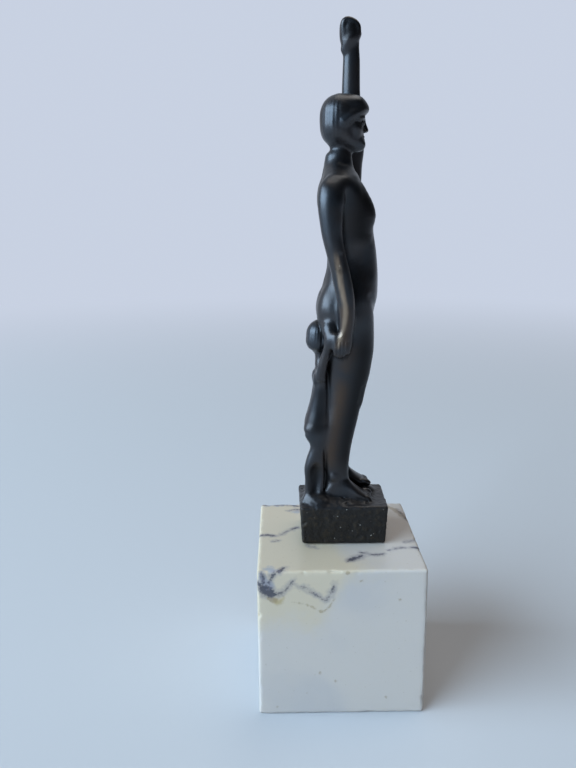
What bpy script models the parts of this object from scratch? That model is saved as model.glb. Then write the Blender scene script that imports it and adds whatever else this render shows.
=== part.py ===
"""Mother and child: a small bronze group on its own low plinth, standing on a block of veined marble.

Metres, +Z up. The statue faces -Y, and the origin is the middle of the marble block's underside.
The figures are drawn in millimetres at drawn_height, and mother_height scales them to their real size.
"""
import math

import bmesh
import bpy
from mathutils import Matrix, Vector

MM = 0.001

# Marble block
block_width = 60.0 * MM
block_depth = 60.0 * MM
block_height = 57.0 * MM
block_edge = 0.8 * MM

# Bronze plinth, and where its middle stands on the block
seat_gap = 0.3 * MM
plinth_width = 23.5 * MM
plinth_depth = 32.0 * MM
plinth_height = 14.7 * MM
plinth_right = 2.35 * MM
plinth_back = -2.2 * MM

# Figures: the mother from the plinth's top to her crown, and where her middle stands on the plinth
mother_height = 145.5 * MM
mother_right = 0.65 * MM
mother_back = 2.2 * MM
child_beside = -4.0

# Fineness of the solid
drawn_height = 145.5
ring_sides = 20
rings_per_level = 3
voxel = 0.75 * MM
kept_share = 0.125

collection_name = "mother_and_child_statue"

# Height, front, back and half width of each level, from the neck down
TRUNK = [
    (126.0, -4.0, 4.4, 3.5),
    (122.5, -4.8, 5.0, 4.6),
    (120.0, -5.8, 5.5, 8.4),
    (117.5, -7.2, 6.1, 11.4),
    (114.0, -9.2, 6.7, 12.4),
    (109.0, -11.0, 6.9, 11.6),
    (104.0, -11.9, 6.2, 10.6),
    (98.0, -12.7, 5.1, 9.4),
    (92.0, -13.5, 4.1, 8.7),
    (87.0, -13.9, 4.1, 9.1),
    (82.0, -14.2, 5.2, 10.4),
    (77.0, -14.1, 6.4, 11.7),
    (73.0, -13.2, 7.0, 12.2),
    (68.0, -12.4, 6.9, 12.1),
    (63.0, -11.5, 5.8, 11.0),
]

# Height, front, back, half width and middle of each level of a leg
LEG = [
    (73.0, -12.4, 7.2, 6.2, 5.9),
    (67.0, -13.1, 6.8, 6.2, 5.8),
    (58.0, -13.2, 5.2, 5.8, 5.5),
    (50.0, -12.2, 4.2, 5.2, 5.1),
    (43.0, -10.5, 3.8, 4.7, 4.8),
    (37.0, -9.0, 3.9, 4.4, 4.6),
    (30.0, -7.4, 4.8, 4.4, 4.4),
    (24.0, -6.1, 5.4, 4.3, 4.3),
    (17.0, -5.0, 5.0, 3.6, 4.2),
    (10.5, -4.6, 4.3, 2.9, 4.1),
    (5.0, -5.4, 4.8, 2.8, 4.2),
    (1.0, -5.6, 4.6, 2.8, 4.3),
]

RAISED_ARM = [
    (108.0, -7.6, 2.0, 2.6, 8.8),
    (113.0, -8.8, 2.6, 3.7, 10.2),
    (118.0, -9.2, 1.6, 4.2, 11.2),
    (123.0, -9.5, -0.8, 3.9, 11.6),
    (128.0, -10.0, -2.0, 3.6, 11.7),
    (134.0, -9.8, -2.6, 3.2, 11.6),
    (140.0, -8.9, -2.5, 2.9, 11.3),
    (146.0, -8.2, -1.9, 2.8, 11.0),
    (153.0, -8.0, -2.0, 2.5, 10.7),
    (160.0, -7.9, -2.0, 2.4, 10.5),
    (164.5, -7.9, -0.8, 2.9, 10.5),
    (168.0, -8.0, -1.3, 2.9, 10.5),
    (170.0, -7.2, -2.0, 2.4, 10.5),
]

HANGING_ARM = [
    (118.0, 1.0, 6.2, 2.0, -11.4),
    (115.5, -0.4, 7.2, 3.2, -12.3),
    (111.0, -1.0, 7.9, 3.8, -13.4),
    (105.0, -0.4, 7.6, 3.5, -14.1),
    (98.0, -0.4, 6.4, 3.1, -14.4),
    (91.5, -1.6, 4.7, 2.8, -14.5),
    (86.0, -3.1, 3.4, 2.8, -14.5),
    (78.0, -4.7, 1.7, 2.7, -14.4),
    (71.0, -4.9, 0.5, 2.4, -14.2),
    (66.5, -4.4, 0.6, 2.1, -14.0),
    (62.5, -3.8, 1.7, 2.2, -13.8),
    (59.5, -3.0, 2.3, 2.1, -13.4),
    (57.4, -1.4, 1.9, 1.5, -13.1),
]

SKULL = [
    (145.3, -2.6, 1.7, 2.1),
    (144.0, -5.6, 3.7, 4.2),
    (141.5, -7.9, 5.4, 5.6),
    (138.0, -8.7, 6.2, 6.3),
    (135.0, -8.6, 6.2, 6.3),
    (132.0, -8.5, 5.0, 5.7),
    (129.3, -8.2, 3.4, 4.5),
    (127.6, -7.4, 1.6, 3.0),
]

CHILD_TRUNK = [
    (55.5, 4.8, 8.0, 2.3),
    (52.5, 4.4, 8.3, 3.2),
    (50.0, 4.0, 8.6, 5.0),
    (46.0, 3.4, 9.0, 5.2),
    (41.0, 3.1, 9.7, 4.7),
    (36.5, 3.1, 10.9, 4.8),
    (32.0, 3.3, 12.1, 5.3),
    (29.0, 3.5, 12.4, 5.4),
    (25.0, 4.0, 11.5, 5.0),
]

CHILD_LEG = [
    (30.0, 3.8, 12.0, 2.7, 2.7),
    (26.0, 4.2, 11.5, 2.6, 2.7),
    (22.0, 4.6, 10.2, 2.3, 2.7),
    (17.5, 4.6, 11.2, 2.3, 2.8),
    (13.5, 4.6, 12.0, 2.3, 2.8),
    (9.0, 4.6, 11.8, 1.9, 2.9),
    (4.0, 4.8, 11.9, 1.8, 2.9),
    (1.0, 5.2, 12.0, 2.0, 2.9),
]


def clear_scene():
    """Removes what the file holds, so that the model starts from nothing."""
    for thing in list(bpy.data.objects):
        bpy.data.objects.remove(thing, do_unlink=True)
    for group in list(bpy.data.collections):
        bpy.data.collections.remove(group)


def finish(name, colour, roughness, metallic):
    """Makes a plain Principled material."""
    material = bpy.data.materials.new(name)
    material.use_nodes = True
    shader = material.node_tree.nodes["Principled BSDF"]
    shader.inputs["Base Color"].default_value = (*colour, 1.0)
    shader.inputs["Roughness"].default_value = roughness
    shader.inputs["Metallic"].default_value = metallic
    return material


def smooth_levels(levels):
    """Puts a smooth curve through each column of the levels and reads it at a few places between two."""
    finer = []
    last = len(levels) - 1
    for place in range(last):
        before = levels[max(place - 1, 0)]
        start = levels[place]
        end = levels[place + 1]
        after = levels[min(place + 2, last)]
        for piece in range(rings_per_level):
            t = piece / rings_per_level
            weights = (
                -0.5 * t + t * t - 0.5 * t ** 3,
                1.0 - 2.5 * t * t + 1.5 * t ** 3,
                0.5 * t + 2.0 * t * t - 1.5 * t ** 3,
                -0.5 * t * t + 0.5 * t ** 3,
            )
            columns = zip(before, start, end, after)
            finer.append(tuple(sum(w * v for w, v in zip(weights, column)) for column in columns))
    finer.append(levels[last])
    return finer


def ring(middle, across, along, fullness):
    """Points of a rounded section: an ellipse, or a squarer one where fullness is over 2."""
    points = []
    for side in range(ring_sides):
        angle = 2.0 * math.pi * side / ring_sides
        c, s = math.cos(angle), math.sin(angle)
        reach = (abs(c) ** fullness + abs(s) ** fullness) ** (-1.0 / fullness)
        points.append(middle + across * (c * reach) + along * (s * reach))
    return points


def skin(shape, rings):
    """Joins the rings by a closed surface with its faces pointing out."""
    made = [[shape.verts.new(point) for point in one] for one in rings]
    faces = [shape.faces.new(made[0]), shape.faces.new(made[-1])]
    for lower, upper in zip(made, made[1:]):
        for side in range(ring_sides):
            nearer = (side + 1) % ring_sides
            faces.append(shape.faces.new((lower[side], lower[nearer], upper[nearer], upper[side])))
    bmesh.ops.recalc_face_normals(shape, faces=faces)


def stack(shape, levels, middle=0.0, back=0.0, side=1.0, fullness=2.2):
    """A body of level sections: each level gives its height, front, back and half width, and may give its
    own middle, which side mirrors."""
    rings = []
    for level in smooth_levels(levels):
        height, front, rear, half = level[:4]
        own = side * level[4] if len(level) > 4 else 0.0
        centre = Vector((middle + own, back + (front + rear) / 2.0, height))
        across = Vector((half, 0.0, 0.0))
        along = Vector((0.0, (rear - front) / 2.0, 0.0))
        rings.append(ring(centre, across, along, fullness))
    skin(shape, rings)


def limb(shape, stops):
    """A round limb through the stops, each a place and a radius, with its sections square to its line."""
    line = smooth_levels(stops)
    places = [Vector(stop[:3]) for stop in line]
    rings = []
    for number, place in enumerate(places):
        ahead = places[min(number + 1, len(places) - 1)] - places[max(number - 1, 0)]
        turn = ahead.normalized().to_track_quat("Z", "Y")
        radius = line[number][3]
        rings.append(ring(place, turn @ Vector((radius, 0, 0)), turn @ Vector((0, radius, 0)), 2.0))
    skin(shape, rings)


def ball(shape, place, half, turn=0.0):
    """An ellipsoid with the given half sizes, tipped by turn degrees about the X axis."""
    tip = Matrix.Rotation(math.radians(turn), 4, "X")
    matrix = Matrix.Translation(place) @ tip @ Matrix.Diagonal((*half, 1.0))
    bmesh.ops.create_icosphere(shape, subdivisions=4, radius=1.0, matrix=matrix)


def foot(shape, middle, heel, toe, width, height):
    """A foot on the ground: its sections stand across the line from the heel to the toe."""
    length = heel - toe
    rows = [
        (0.00, 0.42, 0.55),
        (0.10, 0.72, 0.72),
        (0.30, 0.98, 0.74),
        (0.50, 0.86, 0.80),
        (0.70, 0.58, 0.98),
        (0.88, 0.38, 0.98),
        (1.00, 0.20, 0.62),
    ]
    rings = []
    for share, top, wide in rows:
        centre = Vector((middle, heel - share * length, height * top / 2.0))
        across = Vector((width / 2.0 * wide, 0.0, 0.0))
        along = Vector((0.0, 0.0, height * top / 2.0))
        rings.append(ring(centre, across, along, 2.4))
    skin(shape, rings)


def model_mother(shape):
    """The standing woman, drawn about her own middle, with her right side at -X."""
    stack(shape, TRUNK)
    for side in (-1.0, 1.0):
        lead = -0.5 * side
        stack(shape, LEG, side=side, back=lead)
        foot(shape, side * 4.5, 4.8 + lead, -14.2 + lead, 7.6, 9.5)
        bust = side * 4.8
        limb(shape, [(bust, -5.6, 113.6, 2.4), (bust, -7.9, 108.8, 3.6), (bust, -8.8, 105.2, 3.9), (bust, -8.6, 102.6, 3.0)])
        ball(shape, (side * 5.4, 3.4, 73.0), (5.6, 3.8, 7.0))
    stack(shape, SKULL, fullness=2.1)
    limb(shape, [(0, 0.6, 118, 4.2), (0, 0.3, 123, 3.7), (0, 0.1, 128, 3.6), (0, 0, 132, 3.8)])
    limb(shape, [(0, -8.2, 137.4, 0.7), (0, -8.8, 135.2, 0.8), (0, -9.3, 133.6, 0.9)])
    ball(shape, (0.0, 0.7, 137.2), (6.8, 5.9, 8.3), -8.0)
    stack(shape, RAISED_ARM)
    ball(shape, (10.5, -3.8, 169.2), (2.5, 2.0, 2.2))
    stack(shape, HANGING_ARM)
    limb(shape, [(-13.6, -3.4, 63, 1.1), (-13.3, -4.0, 60.5, 1.0), (-13.0, -3.4, 58.6, 0.9)])


def model_child(shape):
    """The small child, close behind the mother's right leg."""
    stack(shape, CHILD_TRUNK, middle=child_beside)
    for side in (-1.0, 1.0):
        lead = -0.5 * side
        stack(shape, CHILD_LEG, middle=child_beside, side=side, back=lead)
        foot(shape, child_beside + side * 2.9, 12.6 + lead, 3.4 + lead, 4.2, 4.6)
    ball(shape, (child_beside, 7.2, 62.1), (4.7, 4.8, 6.4), 12.0)
    limb(shape, [(-8.4, 6.4, 48.6, 2.0), (-9.6, 6.3, 52.6, 1.8), (-10.6, 5.5, 57.0, 1.6), (-11.6, 4.8, 60.4, 1.7)])
    ball(shape, (-11.7, 4.4, 61.2), (2.1, 2.3, 3.2), 0.0)
    limb(shape, [(0.2, 6.6, 48.6, 2.0), (1.8, 7.0, 44.0, 1.8), (2.6, 6.8, 39.0, 1.6), (2.6, 6.0, 34.0, 1.4)])


def model_ground(shape):
    """Low rough lumps of ground under the feet, no wider than the plinth."""
    lumps = [
        ((-6.0, 7.0, 0.0), (5.6, 6.0, 3.4)),
        ((1.5, 7.6, -0.6), (7.0, 5.4, 2.2)),
        ((-6.0, 0.5, -0.7), (5.4, 7.0, 2.6)),
        ((-4.0, -7.6, -0.8), (6.6, 6.6, 2.2)),
        ((5.0, -6.6, -1.0), (5.6, 7.4, 2.2)),
    ]
    for place, half in lumps:
        ball(shape, place, half)


def to_mesh(name, shape):
    """Puts a finished shape in a mesh of its own."""
    mesh = bpy.data.meshes.new(name)
    shape.to_mesh(mesh)
    shape.free()
    return mesh


def place_object(name, mesh, material, group):
    """Puts a mesh in the model's collection with its material and smooth shading."""
    thing = bpy.data.objects.new(name, mesh)
    mesh.materials.append(material)
    mesh.shade_smooth()
    group.objects.link(thing)
    return thing


def add_modifier(thing, kind, **settings):
    """Adds a modifier and gives it its settings."""
    modifier = thing.modifiers.new(kind.title(), kind)
    for key, value in settings.items():
        setattr(modifier, key, value)


def make_block(group):
    """The marble block, with its worn edges."""
    shape = bmesh.new()
    size = Matrix.Diagonal((block_width, block_depth, block_height, 1.0))
    bmesh.ops.create_cube(shape, size=1.0, matrix=Matrix.Translation((0, 0, block_height / 2)) @ size)
    marble = finish("veined_marble", (0.82, 0.80, 0.74), 0.3, 0.0)
    thing = place_object("marble_block", to_mesh("marble_block", shape), marble, group)
    add_modifier(thing, "BEVEL", width=block_edge, segments=3)


def make_bronze(group):
    """The cast group: both figures, the ground and the plinth, melted into one skin."""
    shape = bmesh.new()
    model_mother(shape)
    model_child(shape)
    model_ground(shape)
    scale = mother_height / drawn_height
    ground = block_height + seat_gap + plinth_height
    feet = Vector((plinth_right + mother_right, plinth_back + mother_back, ground))
    bmesh.ops.transform(shape, verts=shape.verts, matrix=Matrix.Translation(feet) @ Matrix.Scale(scale, 4))
    middle = Vector((plinth_right, plinth_back, ground - plinth_height / 2))
    size = Matrix.Diagonal((plinth_width, plinth_depth, plinth_height, 1.0))
    bmesh.ops.create_cube(shape, size=1.0, matrix=Matrix.Translation(middle) @ size)
    bronze = finish("dark_bronze", (0.045, 0.038, 0.034), 0.36, 0.85)
    thing = place_object("bronze_group", to_mesh("bronze_group", shape), bronze, group)
    add_modifier(thing, "REMESH", mode="VOXEL", voxel_size=voxel, adaptivity=0.0)
    add_modifier(thing, "SMOOTH", factor=0.5, iterations=3)
    add_modifier(thing, "DECIMATE", decimate_type="COLLAPSE", ratio=kept_share)


def main():
    """Builds the statue from nothing."""
    clear_scene()
    group = bpy.data.collections.new(collection_name)
    bpy.context.scene.collection.children.link(group)
    make_block(group)
    make_bronze(group)


main()
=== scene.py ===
"""Mother and child: the looks of a small cast bronze group and the marble block that it stands on.

The figures are drawn in millimetres about the middle of the plinth's top, with the mother facing -Y and her
right side at -X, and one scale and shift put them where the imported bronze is.
"""
import logging
import math
from abc import ABC, abstractmethod
from dataclasses import dataclass
from enum import Enum
from typing import Any, Sequence

import bpy
import numpy as np
from mathutils import Matrix, Vector


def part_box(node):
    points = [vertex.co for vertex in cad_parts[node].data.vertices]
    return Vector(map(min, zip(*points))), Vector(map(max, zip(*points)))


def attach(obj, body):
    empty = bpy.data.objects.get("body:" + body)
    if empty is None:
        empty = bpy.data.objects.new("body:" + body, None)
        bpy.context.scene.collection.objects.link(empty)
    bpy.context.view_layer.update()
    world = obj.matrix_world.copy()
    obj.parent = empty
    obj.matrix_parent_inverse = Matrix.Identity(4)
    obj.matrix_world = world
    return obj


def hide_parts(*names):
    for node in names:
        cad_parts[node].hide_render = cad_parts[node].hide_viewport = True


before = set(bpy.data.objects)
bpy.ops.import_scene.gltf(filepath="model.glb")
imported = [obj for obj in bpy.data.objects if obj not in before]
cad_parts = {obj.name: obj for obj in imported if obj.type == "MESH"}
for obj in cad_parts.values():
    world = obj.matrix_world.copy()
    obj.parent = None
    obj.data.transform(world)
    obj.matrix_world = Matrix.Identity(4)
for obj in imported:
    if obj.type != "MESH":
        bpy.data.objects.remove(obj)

MM = 0.001
BODY = "root"
FAR = 4.0              # the clay's distance where nothing is near
ADD_MARGIN = 3.0       # how far round a form that is added the grid is worked out
CUT_MARGIN = 1.0       # the same round one that is cut away
LATTICE = 2.2          # the lattice's reach that brings the spread noise to about 1
PATH_PIECES = 4        # points in each stretch of a path of a vein or a worn place
PATH_END = 0.2         # the share of a path over which its mark fades at each end
SECTION_PIECES = 6     # sections in each stretch of a stack
VEIN_FAR = -6.0        # how far outside a vein a point counts at most, in millimetres
VEIN_END = 0.35        # a vein's half width at its ends, as a share of that midway
TINY = 1.0e-6
SIDES = (-1.0, 1.0)

Triple = tuple[float, float, float]
Rows = Sequence[Sequence[float]]
Marks = Sequence[tuple[float, Rows]]             # a melt, depth or half width, and a path
Balls = Sequence[tuple[float, Triple, Triple]]   # a melt, a place and half sizes
Patches = Sequence[tuple[float, float, Rows]]    # a reach, a strength and a path
Layers = Sequence[tuple[float, float, int]]      # a noise's depth, spacing and seed
Grid = np.ndarray
Places = Sequence[Grid]                          # coordinates along X, Y and Z that spread over a window
Box = tuple[np.ndarray, np.ndarray]
Cuts = tuple[slice, ...]

log = logging.getLogger("statuette")


# Curves and noise

def smooth_rows(rows: Rows, pieces: int) -> np.ndarray:
    """Puts a Catmull-Rom curve through every column of the rows.

    Each stretch is half of 2b + (c - a)t + (2a - 5b + 4c - d)t^2 + (3b - a - 3c + d)t^3 for its four rows.

    Args:
        rows: The stops, one row each.
        pieces: How many points each stretch gets.

    Returns:
        The finer rows, ending with the last stop.
    """
    stops = np.asarray(rows, float)
    padded = np.concatenate([stops[:1], stops, stops[-1:]])
    a, b, c, d = padded[:-3], padded[1:-2], padded[2:-1], padded[3:]
    t = (np.arange(pieces) / pieces)[:, None, None]
    curve = 2 * b + (c - a) * t + (2 * a - 5 * b + 4 * c - d) * t ** 2 + (3 * b - a - 3 * c + d) * t ** 3
    fine = (0.5 * curve).transpose(1, 0, 2).reshape(-1, stops.shape[1])
    return np.concatenate([fine, stops[-1:]])


def spline_weights(places: np.ndarray, spacing: float) -> np.ndarray:
    """Cubic B-spline weights of a lattice's knots at the places along one axis.

    Args:
        places: Where the axis is read.
        spacing: The distance between knots.

    Returns:
        One row of weights for each place, over all the knots.
    """
    share = (places - places.min()) / spacing
    knots = int(share.max()) + 5
    away = np.abs(share[:, None] + 1.0 - np.arange(knots)[None, :])
    near = 2.0 / 3.0 - away ** 2 + 0.5 * away ** 3
    far = (2.0 - away) ** 3 / 6.0
    return np.where(away < 1.0, near, np.where(away < 2.0, far, 0.0)).astype(np.float32)


def grid_noise(axes: Sequence[np.ndarray], spacing: float, seed: int) -> np.ndarray:
    """Smooth random values on a grid: seeded lattice values spread by cubic B-spline weights on each axis.

    Args:
        axes: The places along X, Y and Z.
        spacing: The size of the noise's lumps.
        seed: The lattice's seed.

    Returns:
        Values about 0, mostly within -1 to 1.
    """
    weights = [spline_weights(axis, spacing) for axis in axes]
    shape = [w.shape[1] for w in weights]
    values = np.random.default_rng(seed).uniform(-LATTICE, LATTICE, shape).astype(np.float32)
    for weight in weights:
        values = np.tensordot(values, weight, axes=(0, 1))
    return values


def layered_noise(axes: Sequence[np.ndarray], layers: Layers) -> np.ndarray:
    """The sum of several noises on a grid."""
    return sum(depth * grid_noise(axes, spacing, seed) for depth, spacing, seed in layers)


def point_noise(points: np.ndarray, spacing: float, seed: int) -> np.ndarray:
    """Smooth random values at loose points: the eight lattice values round each, blended by 3t^2 - 2t^3.

    Args:
        points: The places, one row each.
        spacing: The size of the noise's lumps.
        seed: The lattice's seed.

    Returns:
        Values from -1 to 1.
    """
    share = (points - points.min(axis=0)) / spacing
    cell = share.astype(int)
    t = share - cell
    t = t * t * (3.0 - 2.0 * t)
    values = np.random.default_rng(seed).uniform(-1.0, 1.0, cell.max(axis=0) + 2)
    total = np.zeros(len(points))
    for corner in np.ndindex(2, 2, 2):
        at = cell + corner
        weight = np.where(corner, t, 1.0 - t).prod(axis=1)
        total += weight * values[at[:, 0], at[:, 1], at[:, 2]]
    return total


def from_path(points: np.ndarray, path: Rows) -> tuple[np.ndarray, np.ndarray]:
    """Distance of each point to a smooth path, and how far along the path its nearest place lies.

    Args:
        points: The places, one row each.
        path: The path's stops.

    Returns:
        The distances, and the shares from 0 at the path's start to 1 at its end.
    """
    line = smooth_rows(path, PATH_PIECES)
    best = np.full(len(points), np.inf)
    along = np.zeros(len(points))
    count = len(line) - 1
    for number, (start, end) in enumerate(zip(line, line[1:])):
        run = end - start
        t = np.clip((points - start) @ run / max(run @ run, TINY), 0.0, 1.0)
        away = np.linalg.norm(points - start - t[:, None] * run, axis=1)
        nearer = away < best
        best = np.where(nearer, away, best)
        along = np.where(nearer, (number + t) / count, along)
    return best, along


def fade(value: np.ndarray, start: float, end: float) -> np.ndarray:
    """Rises smoothly from 0 at start to 1 at end, as 3t^2 - 2t^3."""
    t = np.clip((value - start) / (end - start), 0.0, 1.0)
    return t * t * (3.0 - 2.0 * t)


def beside(path: Rows, side: float, middle: float = 0.0, lead: float = 0.0) -> Rows:
    """A path's stops with X on the given side of the middle, and Y moved by the lead."""
    return [(middle + side * x, y + lead, *rest) for x, y, *rest in path]


def arch(*half: Sequence[float]) -> Rows:
    """A path through stops of which the last is in the middle, and back through their mirror images."""
    return [*half, *((-x, *rest) for x, *rest in half[-2::-1])]


def turned_back(turn: np.ndarray, place: Triple, places: Places) -> list[Grid]:
    """How far points lie from a place along each of the turned axes."""
    run = [one - middle for one, middle in zip(places, place)]
    return [sum(turn[k, axis] * run[k] for k in range(3)) for axis in range(3)]


# Forms: each says how far a point lies outside it

@dataclass(frozen=True)
class Pose:
    """Where a form drawn in its own units goes: turned about Z, then X, scaled and moved."""

    place: Triple
    size: float = 1.0
    yaw: float = 0.0
    nod: float = 0.0

    def matrix(self) -> np.ndarray:
        """The turn as a 3 x 3 matrix.

        Returns:
            The matrix.
        """
        yaw = Matrix.Rotation(math.radians(self.yaw), 3, "Z")
        nod = Matrix.Rotation(math.radians(self.nod), 3, "X")
        return np.array(yaw @ nod, np.float32)

    def local(self, places: Places) -> list[Grid]:
        """The places in the form's own units."""
        return [one / self.size for one in turned_back(self.matrix(), self.place, places)]

    def box(self, low: np.ndarray, high: np.ndarray) -> Box:
        """The drawn box round a box in the form's own units.

        Args:
            low: The box's lowest corner.
            high: Its highest corner.

        Returns:
            The drawn box's lowest and highest corner.
        """
        turn = self.matrix()
        middle = turn @ ((low + high) / 2) * self.size + np.array(self.place)
        half = np.abs(turn) @ ((high - low) / 2) * self.size
        return middle - half, middle + half


class Form(ABC):
    """A closed rounded form."""

    @abstractmethod
    def box(self) -> Box:
        """Its lowest and highest corner."""

    @abstractmethod
    def away(self, places: Places) -> Grid:
        """How far the places lie outside it, below 0 inside."""


@dataclass(frozen=True)
class Ball(Form):
    """An ellipsoid, turned by degrees about X, Y and Z."""

    place: Triple
    half: Triple
    turn: Triple = (0.0, 0.0, 0.0)

    def matrix(self) -> np.ndarray:
        """Its turn as a 3 x 3 matrix.

        Returns:
            The matrix.
        """
        angles = [math.radians(angle) for angle in self.turn]
        turns = [Matrix.Rotation(angle, 3, axis) for angle, axis in zip(angles, "XYZ")]
        return np.array(turns[2] @ turns[1] @ turns[0], np.float32)

    def box(self) -> Box:
        """Its lowest and highest corner."""
        reach = np.sqrt(((self.matrix() * np.array(self.half)) ** 2).sum(axis=1))
        return np.array(self.place) - reach, np.array(self.place) + reach

    def away(self, places: Places) -> Grid:
        """m (m - 1) / g, where m is the place measured in half sizes and g is m's slope times m.

        Args:
            places: Where it is read.

        Returns:
            The distances.
        """
        own = [one / half for one, half in zip(turned_back(self.matrix(), self.place, places), self.half)]
        m = np.sqrt(own[0] ** 2 + own[1] ** 2 + own[2] ** 2)
        g = np.sqrt(sum((own[axis] / self.half[axis]) ** 2 for axis in range(3)))
        return m * (m - 1.0) / np.maximum(g, TINY)


@dataclass(frozen=True)
class Limb(Form):
    """A round limb through stops, each a place and a radius."""

    stops: Rows
    pieces: int = 3

    def line(self) -> np.ndarray:
        """The smooth line through the stops."""
        return smooth_rows(self.stops, self.pieces)

    def box(self) -> Box:
        """Its lowest and highest corner."""
        line = self.line()
        return (line[:, :3] - line[:, 3:]).min(axis=0), (line[:, :3] + line[:, 3:]).max(axis=0)

    def spans(self, places: Places) -> list[tuple[Grid, Grid]]:
        """For each stretch of the line, the distance to it and the radius at its nearest place.

        Args:
            places: Where it is read.

        Returns:
            Those distances and radii.
        """
        line = self.line()
        found = []
        for start, end in zip(line, line[1:]):
            run = end[:3] - start[:3]
            px, py, pz = (one - middle for one, middle in zip(places, start))
            t = np.clip((px * run[0] + py * run[1] + pz * run[2]) / max(run @ run, TINY), 0.0, 1.0)
            away = np.sqrt((px - t * run[0]) ** 2 + (py - t * run[1]) ** 2 + (pz - t * run[2]) ** 2)
            found.append((away, start[3] + t * (end[3] - start[3])))
        return found

    def away(self, places: Places) -> Grid:
        """The least distance to the line less the radius there."""
        return np.minimum.reduce([away - radius for away, radius in self.spans(places)])

    def nearness(self, places: Places) -> Grid:
        """(1 - (d / r)^2)^2 inside the limb, so 1 on its line and 0 at its skin."""
        share = np.minimum.reduce([away / radius for away, radius in self.spans(places)])
        return np.maximum(1.0 - share ** 2, 0.0) ** 2


class Way(Enum):
    """Which way a stack of sections runs."""

    UPRIGHT = 2
    LYING = 1


@dataclass(frozen=True)
class Stack(Form):
    """Rounded sections along one axis.

    Each level gives its place, the section's two limits on the next axis (front and back, or low and high),
    its half width and, where it has one, its middle, which the side mirrors.
    """

    levels: Rows
    middle: float = 0.0
    shift: float = 0.0
    side: float = 1.0
    fullness: float = 2.2
    dome: float = 1.2
    way: Way = Way.UPRIGHT
    thinnest: float = 0.05
    nearest: float = 1.0e-4

    def table(self) -> np.ndarray:
        """Place, first limit, second limit, half width and middle, in rising order of place.

        Returns:
            The table, one row for each section.
        """
        rows = np.asarray(self.levels, float)
        own = rows[:, 4:5] * self.side if rows.shape[1] > 4 else np.zeros((len(rows), 1))
        full = smooth_rows(np.hstack([rows[:, :4], own + self.middle]), SECTION_PIECES)
        if self.way is Way.UPRIGHT:
            full[:, 1:3] += self.shift
        return full[np.argsort(full[:, 0])]

    def box(self) -> Box:
        """Its lowest and highest corner.

        Returns:
            Both corners.
        """
        t = self.table()
        across = [(t[:, 4] - t[:, 3]).min(), (t[:, 4] + t[:, 3]).max()]
        ends = [t[0, 0], t[-1, 0]]
        limits = [t[:, 1].min(), t[:, 2].max()]
        pairs = [across, limits, ends] if self.way is Way.UPRIGHT else [across, ends, limits]
        return np.array([p[0] for p in pairs]), np.array([p[1] for p in pairs])

    def away(self, places: Places) -> Grid:
        """(s - 1) over s's slope, where s^n = |u|^n + |v|^n in half sizes of the section; round ends.

        Args:
            places: Where it is read.

        Returns:
            The distances.
        """
        x, y, z = places
        along, second = (z, y) if self.way is Way.UPRIGHT else (y, z)
        t = self.table()
        low, high, half, middle = (np.interp(along, t[:, 0], t[:, k]).astype(np.float32) for k in range(1, 5))
        deep = np.maximum((high - low) / 2, self.thinnest)
        half = np.maximum(half, self.thinnest)
        u = np.maximum(np.abs((x - middle) / half), self.nearest)
        v = np.maximum(np.abs((second - (low + high) / 2) / deep), self.nearest)
        pu = u ** (self.fullness - 1.0)
        pv = v ** (self.fullness - 1.0)
        s = (pu * u + pv * v) ** (1.0 / self.fullness)
        slope = np.sqrt((pu / half) ** 2 + (pv / deep) ** 2) * s ** (1.0 - self.fullness)
        flat = np.maximum((s - 1.0) / np.maximum(slope, TINY), -np.minimum(half, deep))
        cap = np.maximum(t[0, 0] - along, along - t[-1, 0])
        return soft_max(flat, cap, self.dome)


@dataclass(frozen=True)
class Slab(Form):
    """A block with rounded edges that widens upwards."""

    low: Triple
    high: Triple
    edge: float
    flare: float

    def box(self) -> Box:
        """Its lowest and highest corner."""
        return np.array(self.low) - self.flare, np.array(self.high) + self.flare

    def away(self, places: Places) -> Grid:
        """The length of what lies past the inner box, less the edge's radius.

        Args:
            places: Where it is read.

        Returns:
            The distances.
        """
        low, high = np.array(self.low), np.array(self.high)
        centre, half = (low + high) / 2, (high - low) / 2 - self.edge
        wider = self.flare * (places[2] - centre[2]) / (high[2] - low[2])
        over = [np.abs(place - centre[k]) - half[k] for k, place in enumerate(places)]
        over[1] = over[1] - wider
        outside = np.sqrt(sum(np.maximum(one, 0.0) ** 2 for one in over))
        inside = np.minimum(np.maximum(np.maximum(over[0], over[1]), over[2]), 0.0)
        return outside + inside - self.edge


def soft_min(a: Grid, b: Grid, melt: float) -> Grid:
    """min(a, b) less melt h^2 / 4, where h is how far |a - b| falls short of melt, as a share of it."""
    short = np.maximum(melt - np.abs(a - b), 0.0) / melt
    return np.minimum(a, b) - short * short * (melt / 4.0)


def soft_max(a: Grid, b: Grid, melt: float) -> Grid:
    """The same blend for the larger of the two."""
    return -soft_min(-a, -b, melt)


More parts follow.
